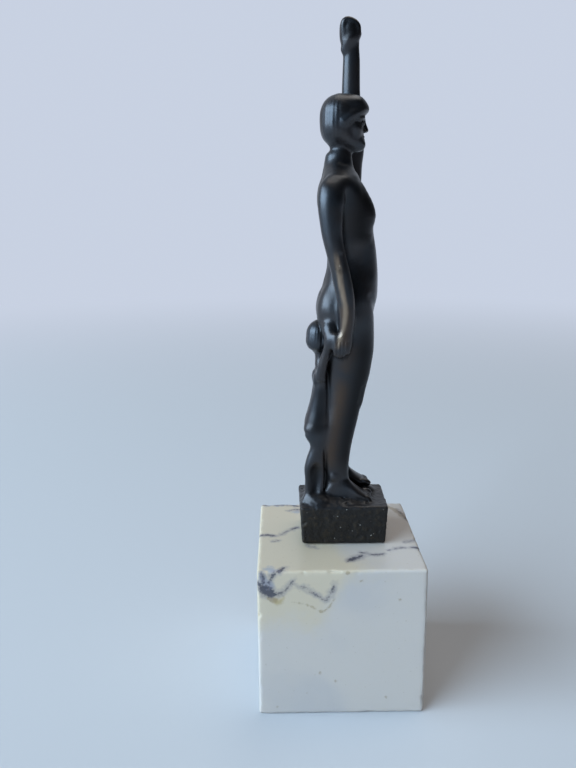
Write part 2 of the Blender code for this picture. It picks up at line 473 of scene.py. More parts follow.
class Clay:
    """A solid modelled as the distance to its skin, kept on a grid of drawn millimetres."""

    def __init__(self, axes: Sequence[np.ndarray]) -> None:
        """Starts with no material anywhere."""
        self.axes = [np.asarray(axis, np.float32) for axis in axes]
        self.away = np.full([len(axis) for axis in self.axes], FAR, np.float32)

    def window(self, low: np.ndarray, high: np.ndarray, margin: float) -> tuple[Cuts, Places]:
        """The part of the grid near a box, as slices and as coordinates that spread over it.

        Args:
            low: The box's lowest corner.
            high: Its highest corner.
            margin: How much further the window reaches.

        Returns:
            The slices, and the coordinates along X, Y and Z.
        """
        cuts, places = [], []
        for number, axis in enumerate(self.axes):
            first, last = np.searchsorted(axis, [low[number] - margin, high[number] + margin])
            cuts.append(slice(int(first), int(last)))
            shape = [1, 1, 1]
            shape[number] = -1
            places.append(axis[cuts[-1]].reshape(shape))
        return tuple(cuts), places

    def read(self, form: Form, pose: Pose | None, margin: float) -> tuple[Cuts, Places, float]:
        """The window round a form, the window's places in the form's units, and the size of one unit.

        Args:
            form: The form.
            pose: Where it goes, if it has its own units.
            margin: How much further the window reaches.

        Returns:
            The slices, the places and the unit.
        """
        low, high = form.box()
        if pose is None:
            cuts, places = self.window(low, high, margin)
            return cuts, places, 1.0
        cuts, places = self.window(*pose.box(low, high), margin)
        return cuts, pose.local(places), pose.size

    def add(self, form: Form, melt: float, pose: Pose | None = None) -> None:
        """Adds a form, melted into what is there over the given depth.

        Args:
            form: What is added.
            melt: How deep the joint is filled, in the form's units.
            pose: Where the form goes, if it has its own units.
        """
        cuts, places, unit = self.read(form, pose, ADD_MARGIN)
        if self.away[cuts].size:
            self.away[cuts] = soft_min(self.away[cuts], form.away(places) * unit, melt * unit)

    def cut(self, form: Form, melt: float, pose: Pose | None = None) -> None:
        """Takes a form away, with the edge of the cut rounded over the given depth.

        Args:
            form: What is cut away.
            melt: How far the edge is rounded, in the form's units.
            pose: Where it goes, if it has its own units.
        """
        cuts, places, unit = self.read(form, pose, CUT_MARGIN)
        if self.away[cuts].size:
            self.away[cuts] = soft_max(self.away[cuts], -form.away(places) * unit, melt * unit)

    def press(self, path: Limb, depth: float, pose: Pose | None = None) -> None:
        """Sinks the skin along a path by the depth, fading out at the path's radius. Below 0 it raises it.

        Args:
            path: The path and its radii.
            depth: How deep it sinks, in the path's units.
            pose: Where it goes, if it has its own units.
        """
        cuts, places, unit = self.read(path, pose, 0.0)
        if self.away[cuts].size:
            self.away[cuts] += (depth * unit * path.nearness(places)).astype(np.float32)

    def add_balls(self, balls: Balls) -> None:
        """Adds a ball at each place, melted in by the number before it."""
        for melt, place, half in balls:
            self.add(Ball(place, half), melt)

    def press_all(self, grooves: Marks, side: float = 1.0, middle: float = 0.0, lead: float = 0.0) -> None:
        """Sinks the skin along each path, set beside the middle, by the number before it."""
        for depth, path in grooves:
            self.press(Limb(beside(path, side, middle, lead)), depth)

    def sample(self, points: np.ndarray) -> np.ndarray:
        """The distance at loose points, between the eight grid values round each.

        Args:
            points: The places, one row each.

        Returns:
            The distances.
        """
        cells, shares = [], []
        for number, axis in enumerate(self.axes):
            at = np.clip(np.searchsorted(axis, points[:, number]) - 1, 0, len(axis) - 2)
            cells.append(at)
            shares.append(np.clip((points[:, number] - axis[at]) / (axis[at + 1] - axis[at]), 0.0, 1.0))
        total = np.zeros(len(points))
        for corner in np.ndindex(2, 2, 2):
            weight = np.prod([s if c else 1.0 - s for s, c in zip(shares, corner)], axis=0)
            total += weight * self.away[cells[0] + corner[0], cells[1] + corner[1], cells[2] + corner[2]]
        return total

    def wrap(self) -> tuple[np.ndarray, np.ndarray]:
        """The skin as a closed net of four-sided faces that point outwards.

        A cell that the skin passes through gets one point, the mean of where the skin crosses the cell's
        edges, and each crossed edge of the grid gets the face between the points of its four cells.

        Returns:
            The points in drawn millimetres, and the faces as four point numbers each.
        """
        inside = self.away < 0.0
        corners = list(np.ndindex(2, 2, 2))
        size = [n - 1 for n in inside.shape]
        count = np.zeros(size, np.uint8)
        for corner in corners:
            count += inside[tuple(slice(c, c + n) for c, n in zip(corner, size))]
        crossed = (count > 0) & (count < len(corners))
        cells = np.argwhere(crossed)
        number = np.zeros(size, np.int32)
        number[crossed] = np.arange(len(cells))
        value = {c: self.away[cells[:, 0] + c[0], cells[:, 1] + c[1], cells[:, 2] + c[2]] for c in corners}
        total = np.zeros((len(cells), 3))
        crossings = np.zeros(len(cells))
        for start in corners:
            for axis in range(3):
                if start[axis]:
                    continue
                end = tuple(1 if k == axis else start[k] for k in range(3))
                a, b = value[start], value[end]
                through = (a < 0.0) != (b < 0.0)
                t = np.where(through, a / np.where(through, a - b, 1.0), 0.0)
                place = np.tile(np.array(start, float), (len(cells), 1))
                place[:, axis] = t
                total += place * through[:, None]
                crossings += through
        share = total / crossings[:, None]
        columns = [a[c] + s * (a[c + 1] - a[c]) for a, c, s in zip(self.axes, cells.T, share.T)]
        return np.stack(columns, axis=1), self.net(inside, number)

    @staticmethod
    def net(inside: np.ndarray, number: np.ndarray) -> np.ndarray:
        """The faces across every crossed edge of the grid, as four cell numbers each.

        Args:
            inside: Which grid points are in the solid.
            number: The point number of each crossed cell.

        Returns:
            The faces.
        """
        faces = []
        for axis in range(3):
            solid = np.moveaxis(inside, axis, 0)
            cell = np.moveaxis(number, axis, 0)
            leaves = solid[:-1] & ~solid[1:]
            enters = ~solid[:-1] & solid[1:]
            for edges, outward in ((leaves, axis != 1), (enters, axis == 1)):
                i, j, k = np.nonzero(edges[:, 1:-1, 1:-1])
                round_edge = [cell[i, j, k], cell[i, j + 1, k], cell[i, j + 1, k + 1], cell[i, j, k + 1]]
                faces.append(np.stack(round_edge if outward else round_edge[::-1], axis=1))
        return np.concatenate(faces)


# Meshes

def make_mesh(name: str, points: np.ndarray, faces: np.ndarray) -> bpy.types.Mesh:
    """A smooth-shaded mesh of four-sided faces.

    Args:
        name: The mesh's name.
        points: The places in metres, one row each.
        faces: Four point numbers for each face.

    Returns:
        The mesh.
    """
    mesh = bpy.data.meshes.new(name)
    mesh.vertices.add(len(points))
    mesh.vertices.foreach_set("co", points.astype(np.float32).ravel())
    mesh.loops.add(faces.size)
    mesh.loops.foreach_set("vertex_index", faces.astype(np.int32).ravel())
    mesh.polygons.add(len(faces))
    mesh.polygons.foreach_set("loop_start", np.arange(0, faces.size, 4, dtype=np.int32))
    mesh.update(calc_edges=True)
    mesh.validate()
    mesh.shade_smooth()
    return mesh


def mesh_points(mesh: bpy.types.Mesh) -> np.ndarray:
    """The places of a mesh's vertices, one row each.

    Args:
        mesh: The mesh.

    Returns:
        The places.
    """
    flat = np.zeros(len(mesh.vertices) * 3, np.float32)
    mesh.vertices.foreach_get("co", flat)
    return flat.reshape(-1, 3).astype(float)


def store(mesh: bpy.types.Mesh, name: str, values: np.ndarray) -> None:
    """Keeps one number for each vertex, which a material reads by name."""
    mesh.attributes.new(name, "FLOAT", "POINT").data.foreach_set("value", values.astype(np.float32))


def place_piece(name: str, mesh: bpy.types.Mesh, node: str) -> bpy.types.Object:
    """Makes the piece that stands for a node of the frame.

    Args:
        name: The piece's name.
        mesh: Its mesh, in the frame's metres.
        node: The node that it replaces.

    Returns:
        The piece.
    """
    piece = bpy.data.objects.new(name, mesh)
    bpy.context.scene.collection.objects.link(piece)
    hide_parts(node)
    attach(piece, BODY)
    return piece


# Materials

@dataclass(frozen=True)
class Wire:
    """A socket's value, which takes part in expressions and adds Math nodes for them."""

    board: "Board"
    socket: Any

    def math(self, operation: str, *others: Any) -> "Wire":
        """One Math node on this value and the others."""
        values = dict(enumerate((self, *others)))
        return self.board.node("ShaderNodeMath", {"operation": operation}, values)

    def __add__(self, other: Any) -> "Wire":
        """The sum."""
        return self.math("ADD", other)

    def __sub__(self, other: Any) -> "Wire":
        """The difference."""
        return self.math("SUBTRACT", other)

    def __rsub__(self, other: float) -> "Wire":
        """The number less this value."""
        return self.math("MULTIPLY_ADD", -1.0, other)

    def __mul__(self, other: Any) -> "Wire":
        """The product."""
        return self.math("MULTIPLY", other)

    __radd__ = __add__
    __rmul__ = __mul__

    def fade(self, start: float, end: float) -> "Wire":
        """Rises smoothly from 0 where the value is start to 1 where it is end."""
        values = {"Value": self, "From Min": start, "From Max": end}
        return self.board.node("ShaderNodeMapRange", {"interpolation_type": "SMOOTHSTEP"}, values)


class Board:
    """The nodes of a material or a world."""

    def __init__(self, owner: Any) -> None:
        """Gives the owner nodes."""
        owner.use_nodes = True
        self.tree = owner.node_tree

    def node(self, kind: str, settings: dict[str, Any], values: dict[Any, Any], output: Any = 0) -> Wire:
        """Adds a node.

        Args:
            kind: The node's type.
            settings: Its own settings, such as an operation.
            values: The numbers, colours or wires of its sockets, by name or number.
            output: The socket that is read.

        Returns:
            That socket's value.
        """
        node = self.tree.nodes.new(kind)
        for key, value in settings.items():
            setattr(node, key, value)
        for key, value in values.items():
            self.feed(node.inputs[key], value)
        return Wire(self, node.outputs[output])

    def glow(self, colour: Triple, strength: Any) -> Wire:
        """A world's light of one colour."""
        return self.node("ShaderNodeBackground", {}, {"Color": colour, "Strength": strength})

    def feed(self, socket: Any, value: Any) -> None:
        """Links a wire to a socket, or sets the socket's own value.

        Args:
            socket: The socket.
            value: A wire, or a value that the socket takes.
        """
        if isinstance(value, Wire):
            self.tree.links.new(value.socket, socket)
        elif isinstance(value, tuple) and socket.type == "RGBA":
            socket.default_value = (*value, 1.0)
        else:
            socket.default_value = value


class Paint(Board):
    """One material's nodes, with its Principled shader and the piece's own places."""

    def __init__(self, name: str) -> None:
        """Makes the material.

        Args:
            name: The material's name.
        """
        self.material = bpy.data.materials.new(name)
        super().__init__(self.material)
        self.shader = self.tree.nodes["Principled BSDF"]
        self.places = self.node("ShaderNodeTexCoord", {}, {}, "Object")

    def set(self, name: str, value: Any) -> None:
        """Sets or links a socket of the Principled shader."""
        self.feed(self.shader.inputs[name], value)

    def attribute(self, name: str) -> Wire:
        """A number kept on the vertices."""
        return self.node("ShaderNodeAttribute", {"attribute_name": name}, {}, "Fac")

    def noise(self, scale: float, detail: float, stretch: Triple = (1, 1, 1), warp: float = 0.0) -> Wire:
        """Noise in the piece's own metres, about 0.5.

        Args:
            scale: How many lumps a metre holds.
            detail: How many finer layers lie on it.
            stretch: The share of the scale on each axis.
            warp: How far the noise is bent.

        Returns:
            The noise's value.
        """
        places = self.node("ShaderNodeMapping", {}, {"Vector": self.places, "Scale": stretch})
        values = {"Vector": places, "Scale": scale, "Detail": detail, "Distortion": warp}
        return self.node("ShaderNodeTexNoise", {}, values)

    def mix(self, share: Any, first: Any, second: Any) -> Wire:
        """The first colour where the share is 0 and the second where it is 1."""
        settings = {"data_type": "RGBA", "clamp_factor": True}
        return self.node("ShaderNodeMix", settings, {0: share, 6: first, 7: second}, 2)

    def bump(self, height: Wire, depth: float, under: Wire | None = None) -> Wire:
        """A Bump node: the height's full range stands the depth high, in metres.

        Args:
            height: What is raised.
            depth: How high the full range stands.
            under: A bump that this one lies on.

        Returns:
            The bumped normal.
        """
        values: dict[Any, Any] = {"Height": height, "Distance": depth, "Strength": 1.0}
        if under is not None:
            values["Normal"] = under
        return self.node("ShaderNodeBump", {}, values)


@dataclass(frozen=True)
class BronzeFinish:
    """Cast bronze with a near-black patina, waxed, rubbed to brown metal where hands touch it, with painted
    highlights, a painted reflection and painted shade in its colour.
    """

    patina: Triple = (0.023, 0.028, 0.036)
    # near black: the patina in the hollows, and painted shade
    hollow_and_shade_dark: Triple = (0.006, 0.006, 0.007)
    # brown of worn and uneven patina, also a painted brown reflection
    warm_brown_and_reflection: Triple = (0.070, 0.042, 0.026)
    # rubbed metal, also used for painted highlights
    rubbed_and_highlight: Triple = (0.30, 0.225, 0.160)
    casting: Triple = (0.016, 0.014, 0.013)
    casting_brown: Triple = (0.036, 0.027, 0.018)
    speck: Triple = (0.50, 0.48, 0.44)
    wax: float = 0.80
    wax_roughness: float = 0.33

    def dress(self) -> bpy.types.Material:
        """Makes the material.

        The patina turns brown where the vertices say the skin is worn and where tinted, the tint being a
        painted brown reflection, and black in the hollows and under painted shade.
        The plinth's rough casting is dull, pitted and speckled.

        Returns:
            The material.
        """
        board = Paint("patinated_bronze")
        rough, wear, hollow_and_shade, rub_and_highlight, tint_and_reflection = map(board.attribute, ("rough", "wear", "hollow_and_shade", "rub_and_highlight", "tint_and_reflection"))
        cloud = board.noise(90.0, 3.0)
        grain = board.noise(1500.0, 3.0)
        brushed = board.noise(900.0, 2.0, (1.0, 1.0, 0.25))
        uneven = cloud.fade(0.35, 0.7)
        # brown where worn, where the patina is uneven, and where the tint paints a brown reflection
        brown = (tint_and_reflection + wear * 0.35 + uneven * 0.30) * (0.75 + grain * 0.5)
        figure = board.mix(brown, self.patina, self.warm_brown_and_reflection)
        # rubbed metal and painted highlights along the rub paths
        figure = board.mix((rub_and_highlight * (0.55 + brushed * 0.9)).fade(0.12, 0.85), figure, self.rubbed_and_highlight)
        # black in the hollows, and painted shade where the shade paths lie
        figure = board.mix(hollow_and_shade * 0.85, figure, self.hollow_and_shade_dark)
        crust = board.noise(600.0, 4.0)
        plinth = board.mix(crust.fade(0.45, 0.75), self.casting, self.casting_brown)
        specks = board.node("ShaderNodeTexVoronoi", {}, {"Vector": board.places, "Scale": 950.0}, "Distance")
        some = board.noise(420.0, 1.0).fade(0.60, 0.68)
        dots = (1.0 - specks.fade(0.10, 0.22)) * some
        plinth = board.mix(dots * 0.75, plinth, self.speck)
        board.set("Base Color", board.mix(rough, figure, plinth))
        smooth = 0.33 + cloud * 0.12 + grain * 0.06 - rub_and_highlight * 0.02 + hollow_and_shade * 0.12
        board.set("Roughness", smooth * (1.0 - rough) + (0.50 + crust * 0.2) * rough)
        board.set("Metallic", (0.88 + rub_and_highlight * 0.08) * (1.0 - rough * (0.35 + dots * 0.6)))
        board.set("Coat Weight", (self.wax - cloud * 0.25) * (1.0 - rough * 0.80) * (1.0 - hollow_and_shade * 0.6))
        board.set("Coat Roughness", self.wax_roughness)
        skin = board.bump(cloud, 0.00022, board.bump(grain, 0.000035))
        board.set("Normal", board.bump(crust * rough, 0.00045, skin))
        return board.material


@dataclass(frozen=True)
class MarbleFinish:
    """Polished white marble with a cream upper zone and blue-black and brown veins."""

    white: Triple = (0.605, 0.55, 0.50)
    cloudy: Triple = (0.52, 0.49, 0.475)
    cream: Triple = (0.63, 0.54, 0.405)
    grey: Triple = (0.36, 0.38, 0.43)
    dark: Triple = (0.055, 0.055, 0.075)
    violet: Triple = (0.20, 0.18, 0.22)
    brown: Triple = (0.33, 0.24, 0.13)
    rust: Triple = (0.40, 0.29, 0.10)

    def dress(self) -> bpy.types.Material:
        """Makes the material.

        The vertices hold how many millimetres inside each kind of vein they lie, and noise frays that number
        before it becomes an edge.

        Returns:
            The material.
        """
        board = Paint("veined_marble")
        broad = board.noise(26.0, 4.0, warp=0.6)
        ragged = (board.noise(230.0, 3.0, warp=0.8) - 0.5) * 1.9
        frayed = board.noise(420.0, 4.0) - 0.5
        fine = board.noise(1400.0, 3.0) - 0.5
        body = board.mix(broad.fade(0.42, 0.72) * 0.8, self.white, self.cloudy)
        cream = (board.attribute("cream") + frayed * 0.35 + (broad - 0.5) * 0.8).fade(0.25, 0.85)
        body = board.mix(cream, body, self.cream)
        patch = (board.attribute("grey_patch") + ragged * 1.6 + frayed * 5.0).fade(-0.4, 1.6)
        body = board.mix(patch * 0.8, body, self.grey)
        stain = (board.attribute("stain") + frayed * 2.6).fade(-0.6, 1.2)
        body = board.mix(stain * 0.65, body, self.rust)
        halo = (board.attribute("dark_vein") + ragged + frayed * 3.4).fade(-1.7, 0.3)
        body = board.mix(halo * 0.50, body, self.violet)
        pale_vein = (board.attribute("brown_vein") + frayed * 2.2 + fine * 0.9).fade(-0.30, 0.55)
        body = board.mix(pale_vein * 0.62, body, self.brown)
        vein = (board.attribute("dark_vein") + ragged + frayed * 2.6 + fine * 1.6).fade(-0.25, 0.75)
        body = board.mix(vein * 0.92, body, board.mix((frayed * 3.0).fade(0.0, 0.9), self.dark, self.violet))
        dust = board.noise(900.0, 1.0).fade(0.70, 0.78)
        body = board.mix(dust * 0.22, body, self.brown)
        board.set("Base Color", body)
        board.set("Roughness", 0.27 + broad * 0.12 + vein * 0.10 + board.attribute("worn") * 0.3)
        board.set("Coat Weight", 0.25 - board.attribute("worn") * 0.22)
        board.set("Coat Roughness", 0.16)
        board.set("Subsurface Weight", 0.12)
        board.set("Subsurface Radius", (0.0020, 0.0017, 0.0013))
        board.set("Subsurface Scale", 1.0)
        board.set("Normal", board.bump(vein * -0.6 + fine * 0.25, 0.00010))
        return board.material


@dataclass(frozen=True)
class FloorFinish:
    """A plain pale studio floor that glows like the horizon where it is far from the object."""

    colour: Triple = (0.60, 0.61, 0.63)
    horizon: Triple = (0.58, 0.64, 0.76)
    roughness: float = 0.75
    least: float = 0.62

    def dress(self) -> bpy.types.Material:
        """Makes the material: the glow is full beyond the object and least on the other side.

        Returns:
            The material.
        """
        board = Paint("pale_floor")
        away = board.node("ShaderNodeVectorMath", {"operation": "LENGTH"}, {0: board.places}, "Value")
        beyond = board.node("ShaderNodeSeparateXYZ", {}, {"Vector": board.places}, "X").fade(-1.20, 0.80)
        far = away.fade(0.25, 1.30) * (self.least + beyond * (1.0 - self.least))
        board.set("Base Color", board.mix(far, self.colour, (0.0, 0.0, 0.0)))
        board.set("Emission Color", board.mix(far, (0.0, 0.0, 0.0), self.horizon))
        board.set("Emission Strength", 1.0)
        board.set("Specular IOR Level", 0.0)
        board.set("Roughness", self.roughness)
        return board.material


# The bronze group

@dataclass(frozen=True)
class Head:
    """A head drawn in its own height: the chin's underside at 0, the crown at 1, the face towards -Y."""

    pose: Pose
    child: bool = False
    cheek: float = 0.07
    strands: int = 15
    strand_radius: float = 0.040
    strand_depth: float = 0.004

    def shape(self, clay: Clay) -> None:
        """Models the head on general proportions: eyes at half height, the mouth at a fifth.

        Args:
            clay: What takes the form.
        """
        self.mass(clay)
        for side in SIDES:
            self.eye(clay, side)
        self.nose(clay)
        self.mouth(clay)
        self.hair(clay)

    def mass(self, clay: Clay) -> None:
        """The skull, face, jaw, chin and cheeks.

        Args:
            clay: What takes the form.
        """
        pose = self.pose
        clay.add(Ball((0, 0.03, 0.60), (0.325, 0.39, 0.395)), 0.05, pose)
        clay.add(Ball((0, -0.115, 0.43), (0.262, 0.300, 0.43)), 0.08, pose)
        jaw = ((0.19, 0.02, 0.30, 0.08), (0.14, -0.18, 0.14, 0.07), (0, -0.32, 0.08, 0.06))
        brow = ((0.03, -0.378, 0.545, 0.036), (0.13, -0.385, 0.563, 0.036), (0.225, -0.30, 0.54, 0.034))
        for side in SIDES:
            clay.add(Limb(beside(jaw, side)), 0.20, pose)
            clay.add(Ball((side * 0.17, -0.26, 0.37), (0.09, self.cheek, 0.09)), 0.13, pose)
            clay.add(Limb(beside(brow, side)), 0.07, pose)
        clay.add(Ball((0, -0.355, 0.085), (0.085, 0.065, 0.07)), 0.06, pose)

    def eye(self, clay: Clay, side: float) -> None:
        """One socket with its closed curve of ball and lids.

        Args:
            clay: What takes the form.
            side: -1 for the figure's right side, 1 for its left.
        """
        pose = self.pose
        clay.cut(Ball((side * 0.128, -0.452, 0.473), (0.082, 0.068, 0.052)), 0.05, pose)
        clay.add(Ball((side * 0.125, -0.345, 0.470), (0.066, 0.070, 0.062)), 0.022, pose)
        upper = ((0.060, -0.388, 0.468, 0.008), (0.122, -0.413, 0.500, 0.013), (0.190, -0.368, 0.474, 0.009))
        lower = ((0.062, -0.386, 0.460, 0.007), (0.122, -0.404, 0.438, 0.010), (0.186, -0.364, 0.462, 0.007))
        for lid in (upper, lower):
            clay.add(Limb(beside(lid, side), 5), 0.014, pose)

    def nose(self, clay: Clay) -> None:
        """The bridge, tip, wings and nostrils.

        Args:
            clay: What takes the form.
        """
        pose = self.pose
        bridge = ((0, -0.392, 0.535, 0.026), (0, -0.426, 0.45, 0.032), (0, -0.452, 0.352, 0.044))
        clay.add(Limb(bridge), 0.045, pose)
        for side in SIDES:
            clay.add(Ball((side * 0.043, -0.420, 0.330), (0.028, 0.036, 0.028)), 0.018, pose)
            clay.cut(Ball((side * 0.022, -0.445, 0.302), (0.012, 0.016, 0.010)), 0.008, pose)

    def mouth(self, clay: Clay) -> None:
        """Two lips with the line between them.

        Args:
            clay: What takes the form.
        """
        upper = arch((-0.083, -0.372, 0.213, 0.010), (-0.030, -0.408, 0.228, 0.019),
                     (0, -0.409, 0.222, 0.017))
        lower = arch((-0.070, -0.374, 0.203, 0.010), (0, -0.402, 0.188, 0.025))
        line = arch((-0.086, -0.384, 0.210, 0.007), (0, -0.436, 0.208, 0.010))
        for lip in (upper, lower):
            clay.add(Limb(lip, 4), 0.022, self.pose)
        clay.cut(Limb(line, 5), 0.012, self.pose)

    def hair(self, clay: Clay) -> None:
        """A smooth cap of hair with faint combed strands: a roll frames the face, or the cap is cropped.

        Args:
            clay: What takes the form.
        """
        pose = self.pose
        cropped = 1.0 if self.child else 0.0
        clay.add(Ball((0, 0.045, 0.625), (0.362, 0.385, 0.392)), 0.025, pose)
        clay.add(Ball((0, 0.135, 0.385), (0.335, 0.28, 0.31 - 0.03 * cropped)), 0.10, pose)
        clay.add(Ball((0, -0.19 + 0.06 * cropped, 0.80), (0.30, 0.265, 0.192)), 0.09, pose)
        if not self.child:
            roll = arch((-0.320, -0.02, 0.48, 0.050), (-0.285, -0.17, 0.60, 0.065),
                        (-0.17, -0.335, 0.695, 0.080), (0, -0.415, 0.728, 0.092))
            clay.add(Limb(roll, 4), 0.10, pose)
        for number in range(self.strands):
            self.strand(clay, math.pi * (number + 0.5) / self.strands)
        if self.child:
            for side in SIDES:
                self.ear(clay, side)

    def ear(self, clay: Clay, side: float) -> None:
        """One ear: a rim round a cupped middle.

        Args:
            clay: What takes the form.
            side: -1 for the figure's right side, 1 for its left.
        """
        turn = (0.0, 0.0, side * 18.0)
        clay.add(Ball((side * 0.350, 0.02, 0.44), (0.05, 0.095, 0.14), turn), 0.04, self.pose)
        clay.cut(Ball((side * 0.405, 0.00, 0.45), (0.035, 0.05, 0.085), turn), 0.03, self.pose)

    def strand(self, clay: Clay, angle: float) -> None:
        """One combed groove that runs from the crown over the hair's side and back at the given angle.

        Args:
            clay: What takes the form.
            angle: Its direction from the crown, 0 to the left and half a turn to the right.
        """
        across, back = math.cos(angle), math.sin(angle)
        reach = [(0.10, 1.005), (0.24, 0.94), (0.345, 0.78), (0.385, 0.60), (0.37, 0.40), (0.33, 0.24)]
        path = [(across * r * 0.95, 0.045 + back * r * 1.05, z, self.strand_radius) for r, z in reach]
        clay.press(Limb(path), self.strand_depth, self.pose)


# The sections of a foot from heel to toes: the share of its length, and the shares of its height and width
FOOT: Rows = ((0, 0.42, 0.55), (0.1, 0.72, 0.72), (0.3, 0.98, 0.74), (0.5, 0.86, 0.8), (0.68, 0.54, 0.98),
              (0.82, 0.32, 0.96), (0.92, 0.16, 0.74))


@dataclass(frozen=True)
class Mother:
    """The standing woman: her left arm raised straight up with the hand closed, her right arm hanging."""

    trunk: Rows = ((126, -4, 4.4, 3.5), (122.5, -4.8, 5, 4.6), (120, -5.8, 5.5, 8.4),
                   (117.5, -7.2, 6.1, 11.4), (114, -9.2, 6.7, 12.4), (109, -11, 6.9, 11.6),
                   (104, -11.9, 6.2, 10.6), (98, -12.7, 5.1, 9.4), (92, -13.5, 4.1, 8.7),
                   (87, -13.9, 4.1, 9.1), (82, -14.2, 5.2, 10.4), (77, -14.1, 6.4, 11.7),
                   (73, -13.2, 7, 12.2), (68, -12.4, 6.9, 12.1), (63, -11.5, 5.8, 11))
    leg: Rows = ((84, -9.5, 2.5, 3.4, 5.2), (78, -11.6, 5.2, 5.2, 5.7), (73, -12.4, 7.0, 6.1, 5.9),
                 (67, -13.1, 6.8, 6.2, 5.8), (58, -13.2, 5.2, 5.8, 5.5), (50, -12.2, 4.2, 5.2, 5.1),
                 (43, -10.5, 3.8, 4.7, 4.8), (37, -9, 3.9, 4.4, 4.6), (30, -7.4, 4.8, 4.4, 4.4),
                 (24, -6.1, 5.4, 4.3, 4.3), (17, -5, 5, 3.6, 4.2), (10.5, -4.6, 4.3, 2.9, 4.1),
                 (5, -5.4, 4.8, 2.8, 4.2), (1, -5.6, 4.6, 2.8, 4.3))
    raised_arm: Rows = ((108, -7.6, 2, 2.6, 8.8), (113, -8.8, 2.6, 3.7, 10.2), (118, -9.2, 1.6, 4.2, 11.2),
                        (123, -9.5, -0.8, 3.9, 11.6), (128, -10, -2, 3.6, 11.7), (134, -9.8, -2.6, 3.2, 11.6),
                        (140, -8.9, -2.5, 2.9, 11.3), (146, -8.2, -1.9, 2.8, 11), (153, -8, -2, 2.5, 10.7),
                        (160, -7.8, -2.1, 2.35, 10.5), (165, -7.4, -1.6, 2.5, 10.5))
    hanging_arm: Rows = ((118, 1, 6.2, 2, -11.4), (115.5, -0.4, 7.2, 3.2, -12.3), (111, -1, 7.9, 3.8, -13.4),
                         (105, -0.4, 7.6, 3.5, -14.1), (98, -0.4, 6.4, 3.1, -14.4),
                         (91.5, -1.6, 4.7, 2.8, -14.5), (86, -3.1, 3.4, 2.8, -14.5),
                         (78, -4.7, 1.7, 2.7, -14.4), (71, -4.9, 0.5, 2.4, -14.2),
                         (66.5, -4.4, 0.6, 2.1, -14), (63.5, -3.5, 1.7, 2.2, -13.9),
                         (60.4, -2.6, 2.0, 1.8, -13.7))
    elbow_and_palm: Balls = (
        (2.4, (11.2, -3.0, 139.8), (1.8, 1.4, 2.6)), (1.2, (10.2, -4.2, 166.4), (2.8, 3.4, 4.9)),
        (1.0, (9.9, -4.4, 168.2), (2.6, 3.0, 3.0)), (1.0, (11.3, -4.3, 167.4), (2.4, 2.7, 3.9)))
    thumb: Rows = ((9.8, -2.6, 161.4, 1.3), (8.7, -3.6, 163.8, 1.3), (8.5, -5.4, 165.6, 1.15),
                   (9.8, -7.1, 166.3, 0.95))
    finger: Rows = ((-1.9, 169.4, 0.95), (-3.0, 171.1, 0.98), (-5.2, 170.7, 0.95), (-6.9, 169.2, 0.92),
                    (-7.1, 167.0, 0.88), (-6.6, 165.2, 0.80))
    finger_gap: Rows = ((-2.4, 171.6, 0.8), (-5.4, 171.4, 0.85), (-7.4, 169.6, 0.85), (-7.8, 167.0, 0.8),
                        (-7.2, 165.4, 0.7))
    beside_knee: Rows = ((2.6, -8.8, 44.5), (2.8, -8.4, 39.0))
    back_of_knee: Marks = ((0.5, ((4.7, 4.6, 45.0, 3.0), (4.7, 4.4, 39.5, 3.0))),)
    front_of_each_side: Marks = (
        (-0.28, ((1.2, -6.2, 119.3, 1.6), (5.0, -6.9, 118.7, 1.9), (9.0, -5.6, 118.9, 1.9))),
        (0.26, ((9.0, -11.0, 77.0, 2.6), (6.0, -12.6, 73.0, 2.4), (1.6, -13.2, 69.0, 2.0))),
        (0.22, ((5.6, -12.6, 96.5, 2.4), (3.0, -13.2, 99.0, 2.4))))
    front_middle: Marks = (
        (0.55, ((0, -6.0, 121.0, 1.9), (0, -6.2, 119.6, 1.9))),
        (0.35, ((0, -9.0, 113.0, 2.0), (0, -11.8, 105.0, 2.4), (0, -13.2, 94.0, 2.2), (0, -14.0, 88.0, 1.8))),
        (0.75, ((0, -14.1, 86.2, 1.3), (0, -14.1, 85.0, 1.3))))
    back_of_each_side: Marks = (
        (0.30, ((2.4, 6.6, 66.0, 2.0), (6.0, 7.0, 64.8, 2.0), (9.0, 5.2, 65.5, 2.0))),
        (0.35, ((3.2, 5.6, 84.2, 1.4), (3.3, 5.7, 83.2, 1.4))))
    back_middle: Marks = (
        (0.75, ((0, 5.9, 121, 2.0), (0, 6.9, 113, 2.4), (0, 5.6, 101, 2.4), (0, 4.2, 91, 2.2),
                (0, 4.9, 83, 2.0))),
        (1.5, ((0, 6.2, 79.5, 1.3), (0, 7.6, 75.0, 2.0), (0, 7.3, 69.0, 2.1), (0, 6.2, 63.0, 1.8))))
    head: Head = Head(Pose((0.0, -1.1, 127.3), 18.2))

    def shape(self, clay: Clay) -> None:
        """Models the whole figure.

        Args:
            clay: What takes the form.
        """
        self.body(clay)
        for side in SIDES:
            self.lower_limb(clay, side)
        self.front(clay)
        self.rear(clay)
        self.head.shape(clay)
        self.raised(clay)
        self.hanging(clay)

    def body(self, clay: Clay) -> None:
        """The trunk, neck and the slopes of the shoulders.

        Args:
            clay: What takes the form.
        """
        clay.add(Stack(self.trunk), 2.0)
        neck = ((0, 0.4, 118, 4.0), (0, -0.2, 123, 3.3), (0, -0.4, 128, 3.3), (0, -0.4, 132, 3.6))
        clay.add(Limb(neck), 2.6)
        slope = ((2.0, 1.2, 122.0, 1.7), (5.6, 1.4, 118.9, 2.4), (10.2, 1.2, 115.6, 3.3))
        for side in SIDES:
            clay.add(Limb(beside(slope, side)), 3.4)
            clay.add(Ball((side * 5.4, 3.4, 73.0), (5.6, 3.9, 7.0)), 1.8)

